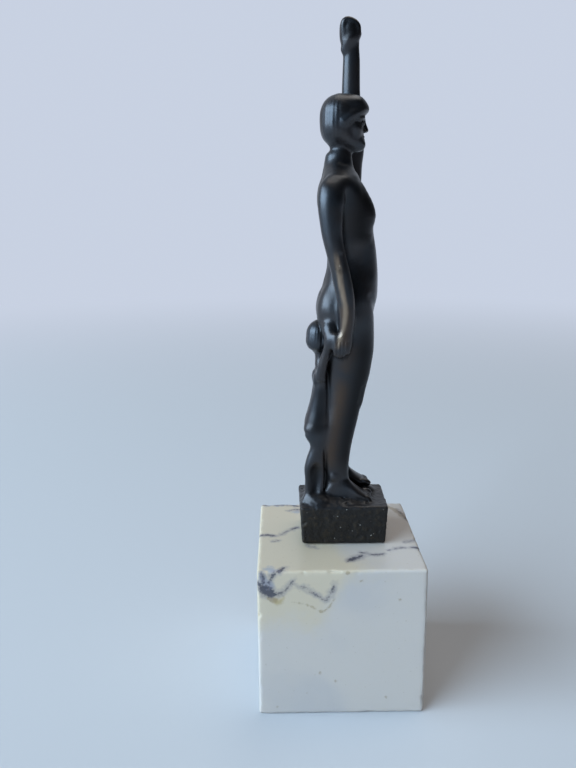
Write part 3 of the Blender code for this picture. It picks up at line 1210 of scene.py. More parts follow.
    def lower_limb(self, clay: Clay, side: float) -> None:
        """One leg with its knee, calf, ankle, foot and toes.

        Args:
            clay: What takes the form.
            side: -1 for the figure's right side, 1 for its left.
        """
        lead = -0.5 * side
        clay.add(Stack(self.leg, side=side, shift=lead, dome=4.0), 1.6)
        clay.add_balls(((2.0, (side * 4.6, -7.9 + lead, 41.5), (2.4, 1.4, 4.2)),
                        (2.0, (side * 4.6, 3.0 + lead, 26.5), (3.2, 2.8, 7.0))))
        clay.press_all(self.back_of_knee, side, lead=lead)
        for inner in SIDES:
            ankle = (side * 4.2 + inner * 2.2, 0.6 + lead, 9.2 + inner * 0.5 * side)
            clay.add(Ball(ankle, (0.9, 1.4, 1.5)), 1.4)
            beside_knee = [(side * 4.6 + inner * out, y + lead, z, 1.8) for out, y, z in self.beside_knee]
            clay.press(Limb(beside_knee), 0.3)
        lift = 3.0 if side > 0 else 0.4
        self.foot(clay, side * 4.5, 4.8 + lead, -13.7, 7.6, 8.6 - lift * 0.25, lift, side)

    @staticmethod
    def foot(clay: Clay, middle: float, heel: float, toe: float, width: float, height: float, lift: float,
             side: float) -> None:
        """A foot flat on the ground, its sections standing across the line from the heel to the toes.

        Args:
            clay: What it is added to.
            middle: Its place along X.
            heel: Where the heel ends along Y.
            toe: Where the toes end along Y.
            width: Its greatest width.
            height: Its greatest height.
            lift: How high the ground under it is.
            side: -1 for a right foot, 1 for a left one.
        """
        length = heel - toe
        rows = [(heel - share * length, lift, lift + height * top, width / 2 * wide)
                for share, top, wide in FOOT]
        clay.add(Stack(rows, middle=middle, fullness=2.4, way=Way.LYING, dome=0.8), 1.4)
        for number in range(5):
            across = (number / 4.0 - 0.5) * width * 0.74
            inner = -across * side
            big = 1.0 if number == (0 if side > 0 else 4) else 0.0
            root = toe + length * (0.20 + 0.02 * abs(across))
            tip = toe + length * (0.025 - 0.004 * inner) + (0.0 if big else 0.35)
            thick = width * (0.112 + 0.035 * big)
            path = [(middle + across * 0.86, root, lift + thick * 1.5, thick * 0.9),
                    (middle + across, (root + tip) / 2, lift + thick * 1.55, thick),
                    (middle + across * 1.02, tip + thick, lift + thick, thick * 0.96)]
            clay.add(Limb(path), 0.25)

    def front(self, clay: Clay) -> None:
        """The bust, collarbones, breastbone, navel and groin, all soft and simplified.

        Args:
            clay: What takes the form.
        """
        bust = ((4.8, -5.6, 113.6, 2.4), (4.8, -7.9, 108.8, 3.6), (4.8, -8.8, 105.2, 3.9),
                (4.8, -8.6, 102.6, 3.0))
        for side in SIDES:
            clay.add(Limb(beside(bust, side)), 1.8)
            clay.press_all(self.front_of_each_side, side)
        clay.press_all(self.front_middle)

    def rear(self, clay: Clay) -> None:
        """The shoulder blades, the furrow of the spine, and the seat.

        Args:
            clay: What takes the form.
        """
        for side in SIDES:
            clay.add(Ball((side * 6.0, 5.2, 112.0), (3.4, 1.9, 5.2), (8.0, 0.0, side * 12.0)), 2.4)
            clay.press_all(self.back_of_each_side, side)
        clay.press_all(self.back_middle)

    def raised(self, clay: Clay) -> None:
        """The raised arm and its closed hand: a palm, four folded fingers and a thumb across them.

        Args:
            clay: What takes the form.
        """
        clay.add(Stack(self.raised_arm, dome=2.0), 1.6)
        clay.add_balls(self.elbow_and_palm)
        for number in range(4):
            x = 10.6 + (number - 1.5) * 1.38
            lower = 0.30 * abs(number - 1.2)
            folded = [(x, y, z - lower, radius) for y, z, radius in self.finger]
            clay.add(Limb([(10.4 + (number - 1.5) * 1.0, -2.3, 164.6, 0.8), *folded]), 0.7)
        for number in range(3):
            x = 10.6 + (number - 1.0) * 1.38
            clay.press(Limb([(x, *rest) for rest in self.finger_gap]), 0.34)
        clay.add(Limb(self.thumb), 1.3)

    def hanging(self, clay: Clay) -> None:
        """The hanging arm and its half-closed hand, which holds the child's.

        Args:
            clay: What takes the form.
        """
        clay.add(Stack(self.hanging_arm, dome=4.0), 2.4)
        clay.press(Limb([(-16.6, 0.6, 92.0, 2.0), (-16.8, 0.9, 88.0, 2.0)]), 0.25)
        for number in range(4):
            y = 1.6 - number * 1.2
            drop = (0.6, 0.0, 0.2, 1.0)[number]
            path = [(-14.3, y, 64.4, 1.0), (-14.9, y, 61.0, 0.94), (-14.5, y, 58.2 + drop, 0.88),
                    (-13.0, y, 56.9 + drop, 0.80), (-11.8, y, 57.8 + drop, 0.70)]
            clay.add(Limb(path), 0.8)
            gap = [(-15.8, y - 0.6, 62.6, 0.6), (-15.9, y - 0.6, 60.0, 0.75), (-15.3, y - 0.6, 57.8, 0.75)]
            clay.press(Limb(gap), 0.5)
        clay.add(Limb([(-13.8, -2.8, 64.8, 1.2), (-14.0, -3.0, 61.9, 1.02), (-13.8, -2.6, 59.2, 0.88)]), 1.1)


@dataclass(frozen=True)
class Child:
    """The small child, close behind the mother's right leg, with one hand in hers and one on her thigh."""

    middle: float = -4.0
    trunk: Rows = ((55.5, 4.8, 8, 2.3), (52.5, 4.4, 8.3, 3.2), (50, 4, 8.6, 5), (46, 3.4, 9, 5.2),
                   (41, 3.1, 9.7, 4.7), (36.5, 3.1, 10.9, 4.8), (32, 3.3, 12.1, 5.3), (29, 3.5, 12.4, 5.4),
                   (25, 4, 11.5, 5))
    leg: Rows = ((30, 3.8, 12, 2.7, 2.7), (26, 4.2, 11.5, 2.6, 2.7), (22, 4.6, 9.7, 2.3, 2.7),
                 (17.5, 4.6, 11.1, 2.3, 2.8), (13.5, 4.6, 12, 2.3, 2.8), (9, 4.6, 11.8, 1.9, 2.9),
                 (4, 4.8, 11.9, 1.8, 2.9), (1, 5.2, 12, 2, 2.9))
    fist: Balls = ((2.0, (-12.2, 3.1, 63.0), (2.5, 2.4, 3.3)), (2.2, (-10.4, 3.8, 66.2), (2.4, 2.4, 2.8)))
    under_seat: Marks = ((0.22, ((1.2, 12.4, 27.0, 1.3), (4.2, 11.6, 27.4, 1.3))),)
    back_middle: Marks = (
        (0.45, ((0, 8.9, 51.0, 1.4), (0, 9.3, 43.0, 1.5), (0, 10.9, 36.5, 1.3))),
        (1.0, ((0, 12.2, 33.5, 1.2), (0, 12.9, 30.5, 1.5), (0, 12.2, 26.5, 1.4))))
    head: Head = Head(Pose((-4.0, 7.2, 55.9), 12.7, 62.0, 8.0), child=True, cheek=0.0945, strands=13,
                      strand_radius=0.060, strand_depth=0.018)

    def shape(self, clay: Clay) -> None:
        """Models the whole figure.

        Args:
            clay: What takes the form.
        """
        middle = self.middle
        clay.add(Stack(self.trunk, middle=middle, dome=3.0), 1.2)
        for side in SIDES:
            lead = -0.5 * side
            clay.add(Stack(self.leg, middle=middle, side=side, shift=lead, dome=2.4), 1.5)
            rows = [(12.6 + lead - share * 9.2, 0.0, 4.6 * top, 2.1 * wide) for share, top, wide in FOOT]
            clay.add(Stack(rows, middle=middle + side * 2.9, fullness=2.4, way=Way.LYING, dome=0.6), 0.6)
            clay.press_all(self.under_seat, side, middle)
            clay.add(Ball((middle + side * 2.6, 8.4, 47.5), (1.9, 1.0, 2.4)), 1.0)
        clay.press_all(self.back_middle, middle=middle)
        clay.add(Limb([(middle, 6.1, 53, 2.2), (middle, 6.4, 58, 2.2)]), 0.9)
        clay.cut(Ball((-9.9, 8.3, 9.2), (3.2, 2.6, 6.6)), 1.8)
        self.head.shape(clay)
        self.arms(clay)

    def arms(self, clay: Clay) -> None:
        """The arm that reaches up to the mother's hand, its fist, and the arm laid along her thigh.

        Args:
            clay: What takes the form.
        """
        reaching = ((-8.2, 6.5, 48.8, 2.1), (-9.6, 6.0, 52.6, 1.8), (-10.6, 4.9, 57, 1.6),
                    (-11.6, 3.8, 60.8, 1.6))
        clay.add(Limb(reaching), 1.2)
        clay.add_balls(self.fist)
        clay.add(Limb([(0.2, 6.6, 48.6, 2), (1.8, 7, 44, 1.8), (2.6, 6.8, 39, 1.6), (2.6, 6, 34, 1.3)]), 0.8)
        for number in range(4):
            x = 1.3 + number * 0.85
            clay.add(Limb([(x, 6.3, 34.6, 0.62), (x, 5.9, 32.4, 0.6), (x, 5.3, 30.6, 0.52)]), 0.2)


@dataclass(frozen=True)
class Ground:
    """The low rough plinth and the lumps of ground under the feet."""

    low: Triple = (-12.4, -18.2, -14.7)
    high: Triple = (11.1, 13.8, 0.0)
    edge: float = 0.9
    flare: float = 0.8
    lumps: Balls = (
        (1.6, (-6.0, 7.0, 0.0), (5.6, 6.0, 3.4)), (1.6, (1.5, 7.6, -0.6), (7.0, 5.4, 2.2)),
        (1.6, (-6.0, 0.5, -0.7), (5.4, 7.0, 2.6)), (1.6, (-4.0, -7.0, -1.4), (6.6, 6.6, 2.2)),
        (1.6, (5.0, -5.6, 0.2), (6.2, 9.4, 3.2)))
    lump_height: float = 4.0
    spare: float = 2.0
    grain: Layers = ((0.10, 3.4, 11), (0.09, 1.2, 12), (0.06, 0.55, 13))
    pits: Layers = ((1.0, 0.8, 14),)
    pits_from: float = 0.70
    pit_depth: float = 0.6
    least_rough: float = 0.35

    def shape(self, clay: Clay) -> None:
        """Models the plinth, then roughens it with coarse and fine grain and pits, least at its foot.

        Args:
            clay: What takes the form.
        """
        clay.add(Slab(self.low, self.high, self.edge, self.flare), 0.5)
        clay.add_balls(self.lumps)
        cuts, places = clay.window(np.array(self.low), np.array(self.high) + self.lump_height, self.spare)
        axes = [place.ravel() for place in places]
        rough = layered_noise(axes, self.grain)
        pits = np.maximum(layered_noise(axes, self.pits) - self.pits_from, 0.0) * self.pit_depth
        share = self.least_rough + (1.0 - self.least_rough) * fade(np.abs(places[2] - self.low[2]), 0.0, 1.0)
        clay.away[cuts] += ((rough + pits) * share).astype(np.float32)
        under = (self.low[2] - places[2]).astype(np.float32)
        clay.away[cuts] = np.maximum(clay.away[cuts], under)


@dataclass(frozen=True)
class BronzeGroup:
    """Both figures and their plinth, cast as one."""

    node: str = "bronze_group"
    drawn_low: Triple = (-17.6, -18.2, -14.7)
    drawn_height: float = 185.9
    space_low: Triple = (-18.8, -19.8, -15.6)
    space_high: Triple = (16.6, 15.6, 172.6)
    zones: Rows = ((-15.6, 0.30), (0.0, 0.24), (16.0, 0.36), (54.0, 0.22), (70.0, 0.36), (126.5, 0.19),
                   (147.0, 0.36), (161.0, 0.24), (172.6, 0.0))    # a start along Z and the spacing from there
    across: float = 0.24
    quick_step: float = 1.7
    most_triangles: int = 192000
    uneven_skin: Layers = ((0.15, 6.5, 21), (0.065, 2.6, 22))
    fillet: float = 1.8
    bulge_step: float = 0.9
    hollow_reach: float = 1.8
    # rubbed metal that also paints highlights along the hanging forearm's ridge and front edge and down the
    # belly's front; the toes are only rubbed
    rub_and_highlight_paths: Patches = (
        (1.2, 0.78, ((-16.4, 3.4, 98), (-17.0, 1.4, 90), (-17.2, 0.2, 82), (-17.0, -1.4, 73.5),
                     (-16.6, -0.5, 67), (-16.2, 0.9, 62.2), (-15.6, 1.8, 58.3))),
        (0.9, 0.45, ((-15.8, -2.4, 90), (-16.2, -3.9, 84), (-16.0, -4.8, 78), (-15.6, -4.9, 71))),
        (0.9, 0.35, ((-10.8, -13.0, 98), (-9.6, -13.8, 90))),
        (0.7, 0.40, ((-3.0, -13.6, 3.0), (-5.0, -13.4, 3.4), (-6.6, -12.2, 3.2))))
    # a painted brown reflection down the near leg, the hanging forearm and the thigh by the hand
    tint_and_reflection_paths: Patches = (
        (2.6, 0.85, ((-10.4, -1.2, 50), (-9.6, -0.6, 42), (-8.8, 0.0, 36), (-8.6, 1.4, 27), (-8.0, 2.8, 18),
                     (-7.0, 3.4, 11))),
        (2.2, 0.7, ((-16.8, -0.6, 76), (-16.5, -1.2, 68), (-15.8, -1.0, 60))),
        (2.6, 0.45, ((-11.0, -5.0, 62), (-10.8, -4.0, 56), (-10.4, -2.0, 50))))
    # painted shade: the gap by the child's leg, the child's near side, the mother's near leg and flank, and
    # the raised fist's palm
    painted_shade_paths: Patches = (
        (2.4, 1.0, ((-6.4, 8.3, 15.5), (-6.2, 8.3, 9.5), (-6.4, 8.3, 3.5))),
        (3.0, 0.8, ((-8.4, 6.8, 46.0), (-8.8, 7.6, 36.0), (-8.4, 8.0, 26.0))),
        (4.6, 1.0, ((-10.6, -9.0, 68.0), (-9.4, -8.6, 54.0), (-8.4, -6.4, 38.0), (-7.6, -3.6, 24.0),
                    (-7.2, -2.4, 8.0))),
        (3.4, 0.9, ((7.0, -4.4, 164.0), (7.0, -4.6, 170.0))),
        (5.5, 1.0, ((-9.6, -6.0, 117.0), (-9.2, -7.0, 110.0), (-9.0, -7.5, 102.0), (-8.6, -8.0, 95.0))))

    def axes(self) -> list[np.ndarray]:
        """Returns:
            The places along X, Y and Z.
        """
        coarser = 1.0
        step = self.across * coarser
        flat = [np.arange(self.space_low[k], self.space_high[k] + step, step) for k in range(2)]
        runs = []
        for (start, spacing), (end, _) in zip(self.zones, self.zones[1:]):
            count = max(int(round((end - start) / (spacing * coarser))), 1)
            runs.append(np.linspace(start, end, count, endpoint=False))
        return [*flat, np.concatenate(runs)]

    def build(self) -> bpy.types.Object:
        """Models the clay, wraps it in a skin, thins the skin and dresses it.

        Returns:
            The piece.
        """
        figures = Clay(self.axes())
        Mother().shape(figures)
        log.info("modelled the mother")
        Child().shape(figures)
        log.info("modelled the child")
        figures.away += layered_noise(figures.axes, self.uneven_skin)
        ground = Clay(figures.axes)
        Ground().shape(ground)
        whole = Clay(figures.axes)
        whole.away = soft_min(figures.away, ground.away, self.fillet)
        points, faces = whole.wrap()
        low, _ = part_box(self.node)
        scale = self.scale()
        shift = np.array(low) / scale - np.array(self.drawn_low)
        mesh = self.thin(make_mesh(self.node, (points + shift) * scale, faces))
        drawn = mesh_points(mesh) / scale - shift
        self.mark(mesh, drawn, whole, figures, ground)
        mesh.materials.clear()
        mesh.materials.append(BronzeFinish().dress())
        return place_piece("cast_bronze_group", mesh, self.node)

    def scale(self) -> float:
        """Metres to one drawn millimetre."""
        low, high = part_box(self.node)
        return (high.z - low.z) / self.drawn_height

    def thin(self, mesh: bpy.types.Mesh) -> bpy.types.Mesh:
        """Merges faces where the skin is flattest, down to the most triangles that the piece may have.

        Args:
            mesh: The full skin.

        Returns:
            The thinner skin.
        """
        share = min(1.0, self.most_triangles / (2.0 * len(mesh.polygons)))
        if share >= 1.0:
            return mesh
        holder = bpy.data.objects.new("full_skin", mesh)
        bpy.context.scene.collection.objects.link(holder)
        modifier = holder.modifiers.new("Thin", "DECIMATE")
        modifier.ratio = share
        graph = bpy.context.evaluated_depsgraph_get()
        thinner = bpy.data.meshes.new_from_object(holder.evaluated_get(graph))
        bpy.data.objects.remove(holder)
        thinner.shade_smooth()
        return thinner

    def mark(self, mesh: bpy.types.Mesh, points: np.ndarray, whole: Clay, figures: Clay,
             ground: Clay) -> None:
        """Keeps on each vertex how rough, worn, sunken, rubbed and brown the bronze is there, and where
        painted shade, painted highlights and a painted brown reflection lie.

        Wear is the skin's bulge: the distances read a step away on six sides, less six times the one here.
        Hollows are places where a step outwards leads nearer to other metal than it should; painted shade
        along given paths joins them.

        Args:
            mesh: The thinned skin.
            points: Its vertices in drawn millimetres.
            whole: The whole cast.
            figures: The figures alone.
            ground: The plinth and ground alone.
        """
        steps = [sign * self.bulge_step * axis for axis in np.eye(3) for sign in SIDES]
        around = sum(whole.sample(points + step) for step in steps)
        bulge = (around - len(steps) * whole.sample(points)) / self.bulge_step ** 2
        normals = np.zeros(len(points) * 3, np.float32)
        mesh.vertices.foreach_get("normal", normals)
        outward = normals.reshape(-1, 3)
        open_air = whole.sample(points + outward * self.hollow_reach) / self.hollow_reach
        rough = fade(figures.sample(points) - ground.sample(points), -0.5, 0.5)
        rough = rough * (1.0 - 0.7 * fade(points[:, 2], -1.2, 0.0))
        store(mesh, "rough", rough)
        store(mesh, "wear", fade(bulge, 0.5, 2.2) * (1.0 - rough))
        # painted shade along those paths is stored with the hollows and darkens the patina there
        painted_shade = self.near_paths(points, self.painted_shade_paths)
        store(mesh, "hollow_and_shade", np.maximum(fade(1.0 - open_air, 0.18, 0.75), painted_shade))
        # rubbed metal and painted highlights
        store(mesh, "rub_and_highlight", self.near_paths(points, self.rub_and_highlight_paths))
        # painted brown reflection
        store(mesh, "tint_and_reflection", self.near_paths(points, self.tint_and_reflection_paths) * (1.0 - rough))

    @staticmethod
    def near_paths(points: np.ndarray, paths: Patches) -> np.ndarray:
        """How strongly each point lies on one of the paths, each a reach, a strength and its stops.

        Args:
            points: The places, one row each.
            paths: The paths.

        Returns:
            The strengths, from 0 to 1.
        """
        total = np.zeros(len(points))
        for reach, strength, path in paths:
            away, along = from_path(points, path)
            ends = fade(along, 0.0, PATH_END) * fade(1.0 - along, 0.0, PATH_END)
            total = np.maximum(total, strength * ends * np.exp(-(away / reach) ** 2))
        return total


# The marble block

@dataclass(frozen=True)
class Veins:
    """Veins of one kind on the block's skin, in millimetres: each row gives a half width, then the places."""

    side: Sequence[tuple] = ()         # Y and height on the -X side
    top: Sequence[tuple] = ()          # X and Y on the top
    elsewhere: Sequence[tuple] = ()    # X, Y and height
    side_x: float = -30.0
    top_z: float = 57.0

    def marks(self) -> Marks:
        """Every vein's half width and its path in the block's millimetres.

        Returns:
            A half width and a path for each vein.
        """
        return [*((half, [(self.side_x, y, z) for y, z in places]) for half, *places in self.side),
                *((half, [(x, y, self.top_z) for x, y in places]) for half, *places in self.top),
                *((half, places) for half, *places in self.elsewhere)]


@dataclass(frozen=True)
class MarbleBlock:
    """The squared block, with worn edges, a few small chips, and veins."""

    node: str = "marble_block"
    edge: float = 0.8
    step: float = 0.5
    wear_reach: float = 1.6
    wear_depth: float = 0.16
    nicks_from: float = 0.50
    nick_depth: float = 1.6
    face_wave: float = 0.012
    near_edge: Sequence[float] = (0.12, 0.28, 0.48, 0.75, 1.15)
    dark_veins: Veins = Veins(
        side=(
            (0.75, (25.9, 53.1), (24.6, 55.2), (23.2, 57.0)),
            (0.80, (28.6, 57.0), (27.6, 54.5), (27.9, 51.4)),
            (2.0, (29.4, 52.6), (27.6, 50.2), (25.2, 48.9), (23.2, 48.3)),
            (0.75, (24.0, 48.4), (21.4, 49.1), (19.4, 50.8), (17.3, 53.5)),
            (0.42, (18.0, 52.6), (14.9, 51.6), (12.9, 50.8), (10.0, 48.6), (7.4, 46.4), (5.2, 45.7)),
            (0.62, (5.8, 45.8), (4.5, 47.8), (3.8, 49.6), (2.8, 52.0))),
        top=(
            (0.80, (-30.0, 22.8), (-28.4, 21.2), (-27.0, 20.3)),
            (1.30, (-22.4, -2.4), (-20.2, -5.4), (-18.2, -8.6)),
            (0.50, (-15.8, -7.4), (-17.2, -9.8), (-18.0, -12.6), (-17.2, -16.2)),
            (0.42, (-14.6, -18.2), (-12.9, -22.2), (-12.3, -25.4)),
            (0.70, (-12.4, -27.0), (-13.0, -30.0)), (0.60, (-8.0, -25.6), (-6.2, -30.0)),
            (0.85, (-0.7, 29.2), (-0.5, 26.3), (-1.5, 23.4)),
            (0.62, (-0.3, 21.4), (2.8, 18.7), (6.2, 14.8)), (0.40, (-6.0, 24.8), (-5.3, 22.4)),
            (0.45, (-9.8, 12.2), (-11.6, 8.6)),
            (0.85, (28.8, 29.4), (29.3, 24.0), (29.0, 18.6), (27.0, 13.6)),
            (0.70, (22.6, 18.2), (24.0, 15.0), (23.6, 12.4)),
            (0.50, (23.0, -26.6), (18.0, -28.4), (10.7, -29.8))),
        elsewhere=(
            (0.45, (30, 24, 50), (30, 16, 46), (30, 9, 38), (30, 3, 36)),
            (0.30, (30, 9, 38), (30, 6, 28), (30, 8, 20)),
            (0.50, (22, 30, 54), (14, 30, 49), (6, 30, 50), (-4, 30, 44)),
            (0.30, (6, 30, 50), (2, 30, 38), (-3, 30, 31)),
            (0.40, (26, -30, 55), (18, -30, 51), (9, -30, 52), (2, -30, 46), (-3, -30, 45))))
    brown_veins: Veins = Veins(
        side=(
            (0.42, (19.3, 45.8), (15.1, 44.9), (11, 43.6), (7.6, 41.5), (5.2, 42.8), (3.1, 46)),
            (0.95, (26.6, 47.4), (24.6, 46.2), (22.8, 46.2)), (0.80, (-1.5, 56.6), (-1.8, 55.8)),
            (0.60, (-6.4, 53.5), (-6.8, 53.1)), (0.75, (7.9, 17.3), (7.8, 16.7)),
            (0.55, (2.3, 13.6), (2.2, 13.2)), (0.60, (23.5, 3.2), (23.4, 2.6)),
            (0.45, (-20.4, 46.0), (-20.3, 45.6)), (0.45, (-7.1, 24.3), (-7.0, 23.8)),
            (0.50, (-16.2, 7.0), (-16.4, 6.3)), (0.35, (12.6, 8.9), (12.4, 8.6))),
        top=(
            (0.15, (-6.5, 24.1), (-4.5, 22.5)),
            (1.50, (27.4, -22.8), (21.8, -26.4), (16.0, -28.6), (11.4, -29.8)),
            (0.15, (-29.2, -17), (-29.3, -27))),
        elsewhere=(
            (0.25, (30, -12, 44), (30, -18, 40), (30, -24, 41)),
            (0.25, (-12, 30, 52), (-20, 30, 47), (-26, 30, 48)),
            (0.25, (14, -30, 40), (6, -30, 37), (-2, -30, 38))))
    stains: Veins = Veins(
        side=(
            (1.3, (24, 47.2), (22.6, 45.4), (20.5, 47)),))
    grey_patches: Veins = Veins(
        side=(
            (2.6, (28.5, 56.0), (26.6, 52.0), (27.0, 50.0)),),
        top=(
            (2.2, (-27.5, 27.6), (-28.3, 23.0)), (1.8, (22.5, 17.2), (20.0, 13.4)),
            (1.2, (27.4, 28.6), (28.6, 22.6), (29.0, 14.2))))

    def places_along(self, size: float) -> np.ndarray:
        """Places from one edge of a side to the other, closer together near both edges.

        Args:
            size: The side's length.

        Returns:
            The places, about the side's middle.
        """
        half = size / 2
        count = int(round((size - 2 * self.near_edge[-1]) / self.step))
        inner = np.linspace(-half + self.near_edge[-1], half - self.near_edge[-1], count + 1)
        close = np.array([0.0, *self.near_edge[:-1]])
        return np.concatenate([-half + close, inner, (half - close)[::-1]])

    def sides(self, size: np.ndarray) -> tuple[np.ndarray, np.ndarray]:
        """The block's six sides as one net: points on the sharp box, and faces that point outwards.

        Args:
            size: The block's size.

        Returns:
            The points and the faces.
        """
        lines = [self.places_along(one) for one in size]
        points, faces, first = [], [], 0
        for axis in range(3):
            u, v = lines[(axis + 1) % 3], lines[(axis + 2) % 3]
            for sign in SIDES:
                grid = np.zeros((len(u), len(v), 3))
                grid[..., axis] = sign * size[axis] / 2
                grid[..., (axis + 1) % 3] = u[:, None]
                grid[..., (axis + 2) % 3] = v[None, :]
                number = first + np.arange(len(u) * len(v)).reshape(len(u), len(v))
                loop = [number[:-1, :-1], number[1:, :-1], number[1:, 1:], number[:-1, 1:]]
                loop = loop if sign > 0 else loop[::-1]
                faces.append(np.stack([one.ravel() for one in loop], axis=1))
                points.append(grid.reshape(-1, 3))
                first += len(points[-1])
        every = np.concatenate(points)
        _, where, back = np.unique(np.round(every, 4), axis=0, return_index=True, return_inverse=True)
        return every[where], back.reshape(-1)[np.concatenate(faces)]

    def round_edges(self, points: np.ndarray, size: np.ndarray) -> tuple[np.ndarray, ...]:
        """Rounds the box: each point stands one edge radius off its nearest place in an inner box.

        Args:
            points: Points on the sharp box about its middle.
            size: The box's size.

        Returns:
            The rounded points, the outward directions, and how near each lies to an edge, from 0 to 1.
        """
        inner = size / 2 - self.edge
        core = np.clip(points, -inner, inner)
        run = points - core
        outward = run / np.linalg.norm(run, axis=1, keepdims=True)
        from_edges = np.sort(size / 2 - np.abs(points), axis=1)[:, 1]
        worn = 1.0 - fade(from_edges, 0.0, self.wear_reach)
        return core + outward * self.edge, outward, worn

    def build(self) -> bpy.types.Object:
        """Models the block, wears its edges and dresses it.

        Returns:
            The piece.
        """
        low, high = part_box(self.node)
        size = (np.array(high) - np.array(low)) / MM
        middle = (np.array(high) + np.array(low)) / 2 / MM
        points, faces = self.sides(size)
        points, outward, worn = self.round_edges(points, size)
        wander = point_noise(points, 2.2, 31) * 0.10 + point_noise(points, 0.9, 32) * 0.07
        nicks = np.maximum(point_noise(points, 3.1, 33) - self.nicks_from, 0.0) * self.nick_depth
        depth = worn * (self.wear_depth + wander + nicks) + self.face_wave * point_noise(points, 6.0, 34)
        depth = np.where(outward[:, 2] < -0.99, 0.0, np.maximum(depth, 0.0))
        points = points - outward * depth[:, None] + middle
        mesh = make_mesh(self.node, points * MM, faces)
        self.mark(mesh, points, worn)
        mesh.materials.append(MarbleFinish().dress())
        return place_piece("veined_marble_block", mesh, self.node)

    def mark(self, mesh: bpy.types.Mesh, points: np.ndarray, worn: np.ndarray) -> None:
        """Keeps on each vertex how deep it lies in each kind of vein, and where the stone is cream.

        Args:
            mesh: The block's mesh.
            points: Its vertices in millimetres.
            worn: How near each lies to an edge, from 0 to 1.
        """
        for name, veins in (("dark_vein", self.dark_veins), ("brown_vein", self.brown_veins),
                            ("stain", self.stains), ("grey_patch", self.grey_patches)):
            store(mesh, name, self.inside(points, veins.marks()))
        store(mesh, "worn", worn)
        up = points[:, 2]
        side_share = fade(points[:, 1], -6.0, 14.0) * fade(up, 15.0, 50.0) + 0.35 * fade(up, 44.0, 56.0)
        near_corner = fade(-points[:, 0], 16.0, 27.0) * fade(points[:, 1], -14.0, 4.0)
        top_share = fade(up, 55.5, 56.6) * (0.38 + 0.45 * near_corner)
        store(mesh, "cream", np.clip(np.maximum(side_share, top_share), 0.0, 1.0))

    @staticmethod
    def inside(points: np.ndarray, veins: Marks) -> np.ndarray:
        """How many millimetres inside the nearest vein each point lies, below 0 outside.

        Args:
            points: The places, one row each.
            veins: The veins.

        Returns:
            The depths in millimetres.
        """
        best = np.full(len(points), VEIN_FAR)
        for half, path in veins:
            away, along = from_path(points, path)
            own_half = half * (VEIN_END + (1.0 - VEIN_END) * np.sin(np.pi * along))
            best = np.maximum(best, own_half - away)
        return best


# The studio

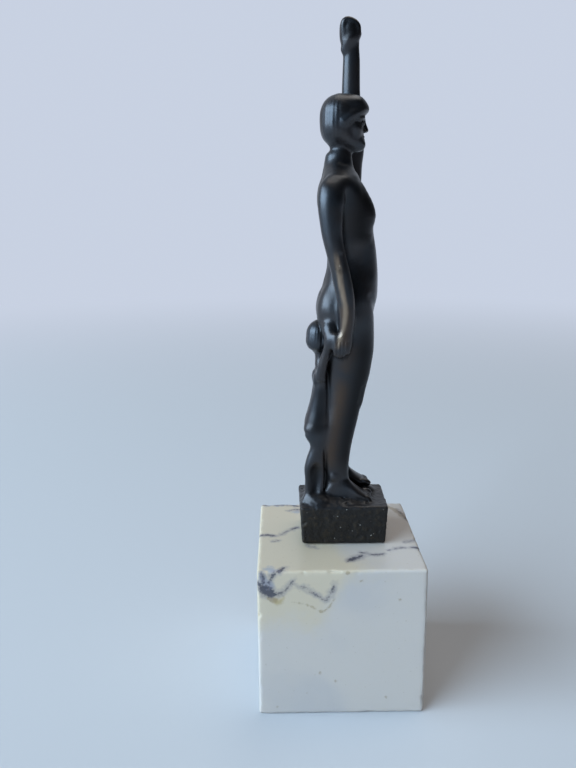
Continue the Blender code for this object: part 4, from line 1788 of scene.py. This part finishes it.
@dataclass(frozen=True)
class Studio:
    """A plain pale floor, soft light and the camera at the photograph's viewing angle."""

    rings: Sequence[float] = (0.02, 0.2, 0.6, 1.6, 6.0)
    spokes: int = 64
    floor_gap: float = 0.00005
    camera_place: Triple = (-0.2617, 0.0207, 0.180)
    pitch: float = 13.55
    yaw: float = -0.53
    roll: float = -0.47
    lens: float = 34.26
    sensor: float = 36.0
    nearest: float = 0.01
    window_place: Triple = (-1.10, 2.29, 1.30)
    window_size: tuple[float, float] = (3.1, 2.0)
    window_watts: float = 154.0
    fill_place: Triple = (0.5, -0.4, 2.2)
    fill_size: tuple[float, float] = (1.6, 1.6)
    fill_watts: float = 15.0
    window_colour: Triple = (0.66, 0.87, 1.08)
    fill_colour: Triple = (1.0, 0.95, 0.88)
    aim: Triple = (0.0, 0.0, 0.12)
    sky: Triple = (0.66, 0.72, 0.82)
    even: float = 0.15
    dark_side: float = 0.02
    wall: float = 0.62
    brighter_way: Triple = (0.87, 0.50, 0.0)

    def build(self) -> None:
        """Makes the floor, lights, surroundings and camera."""
        bpy.context.scene.view_settings.view_transform = "Standard"
        self.floor()
        self.light("window", self.window_place, self.window_size, self.window_watts, self.window_colour)
        self.light("fill", self.fill_place, self.fill_size, self.fill_watts, self.fill_colour)
        self.surroundings()
        self.camera()

    def floor(self) -> None:
        """A round floor: a disc inside rings of points about the middle, a hair below the block."""
        angle = np.linspace(0.0, 2.0 * np.pi, self.spokes, endpoint=False)
        radius = np.array(self.rings)
        level = np.full((radius.size, angle.size), -self.floor_gap)
        places = np.stack([np.outer(radius, np.cos(angle)), np.outer(radius, np.sin(angle)), level], axis=-1)
        number = np.arange(radius.size * angle.size).reshape(radius.size, angle.size)
        after = np.roll(number, -1, axis=1)
        faces = np.stack([number[:-1], number[1:], after[1:], after[:-1]], axis=-1).reshape(-1, 4)
        mesh = bpy.data.meshes.new("floor")
        mesh.from_pydata(places.reshape(-1, 3).tolist(), [], [*faces.tolist(), number[0].tolist()])
        mesh.materials.append(FloorFinish().dress())
        floor = bpy.data.objects.new("floor", mesh)
        bpy.context.scene.collection.objects.link(floor)

    def light(self, name: str, place: Triple, size: Sequence[float], watts: float, colour: Triple) -> None:
        """One soft rectangular light aimed at the statue's middle.

        Args:
            name: The light's name.
            place: Where it hangs.
            size: Its width and height.
            watts: Its power.
            colour: Its colour.
        """
        lamp = bpy.data.lights.new(name, "AREA")
        lamp.shape = "RECTANGLE"
        lamp.size, lamp.size_y = size
        lamp.energy = watts
        lamp.color = colour
        holder = bpy.data.objects.new(name, lamp)
        holder.location = place
        way = Vector(self.aim) - Vector(place)
        holder.rotation_euler = way.to_track_quat("-Z", "Y").to_euler()
        bpy.context.scene.collection.objects.link(holder)

    def surroundings(self) -> None:
        """A world that lights evenly and is plain where the camera sees it.

        In reflections it is a room that is darker on the photographer's side.
        """
        world = bpy.data.worlds.new("room")
        bpy.context.scene.world = world
        board = Board(world)
        way = board.node("ShaderNodeTexCoord", {}, {}, "Generated")
        values = {0: way, 1: self.brighter_way}
        towards = board.node("ShaderNodeVectorMath", {"operation": "DOT_PRODUCT"}, values, "Value")
        room = towards.fade(-0.35, 0.80) * (self.wall - self.dark_side) + self.dark_side
        shown = board.glow(self.sky, self.even)
        for ray, light in (("Is Glossy Ray", board.glow(self.sky, room)),
                           ("Is Camera Ray", board.glow(FloorFinish().horizon, 1.0))):
            share = board.node("ShaderNodeLightPath", {}, {}, ray)
            shown = board.node("ShaderNodeMixShader", {}, {0: share, 1: shown, 2: light})
        board.feed(board.tree.nodes["World Output"].inputs["Surface"], shown)

    def camera(self) -> None:
        """The camera: it looks along +X, pitched down, with a slight yaw and roll."""
        pitch, yaw, roll = (math.radians(a) for a in (self.pitch, self.yaw, self.roll))
        ahead = Vector((math.cos(yaw) * math.cos(pitch), math.sin(yaw) * math.cos(pitch), -math.sin(pitch)))
        right = Vector((math.sin(yaw), -math.cos(yaw), 0.0))
        up = right.cross(ahead)
        turned_right = right * math.cos(roll) + up * math.sin(roll)
        turned_up = up * math.cos(roll) - right * math.sin(roll)
        turn = Matrix((turned_right, turned_up, -ahead)).transposed()
        lens = bpy.data.cameras.new("camera")
        lens.lens = self.lens
        lens.sensor_width = self.sensor
        lens.clip_start = self.nearest
        holder = bpy.data.objects.new("camera", lens)
        holder.matrix_world = Matrix.Translation(self.camera_place) @ turn.to_4x4()
        bpy.context.scene.collection.objects.link(holder)
        bpy.context.scene.camera = holder


def main() -> None:
    """Builds the pieces and the studio, and reports each piece."""
    logging.basicConfig(level=logging.INFO, format="%(message)s")
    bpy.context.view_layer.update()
    for maker in (MarbleBlock(), BronzeGroup()):
        piece = maker.build()
        log.info("%s: %d faces", piece.name, len(piece.data.polygons))
    Studio().build()


if __name__ == "__main__":
    main()
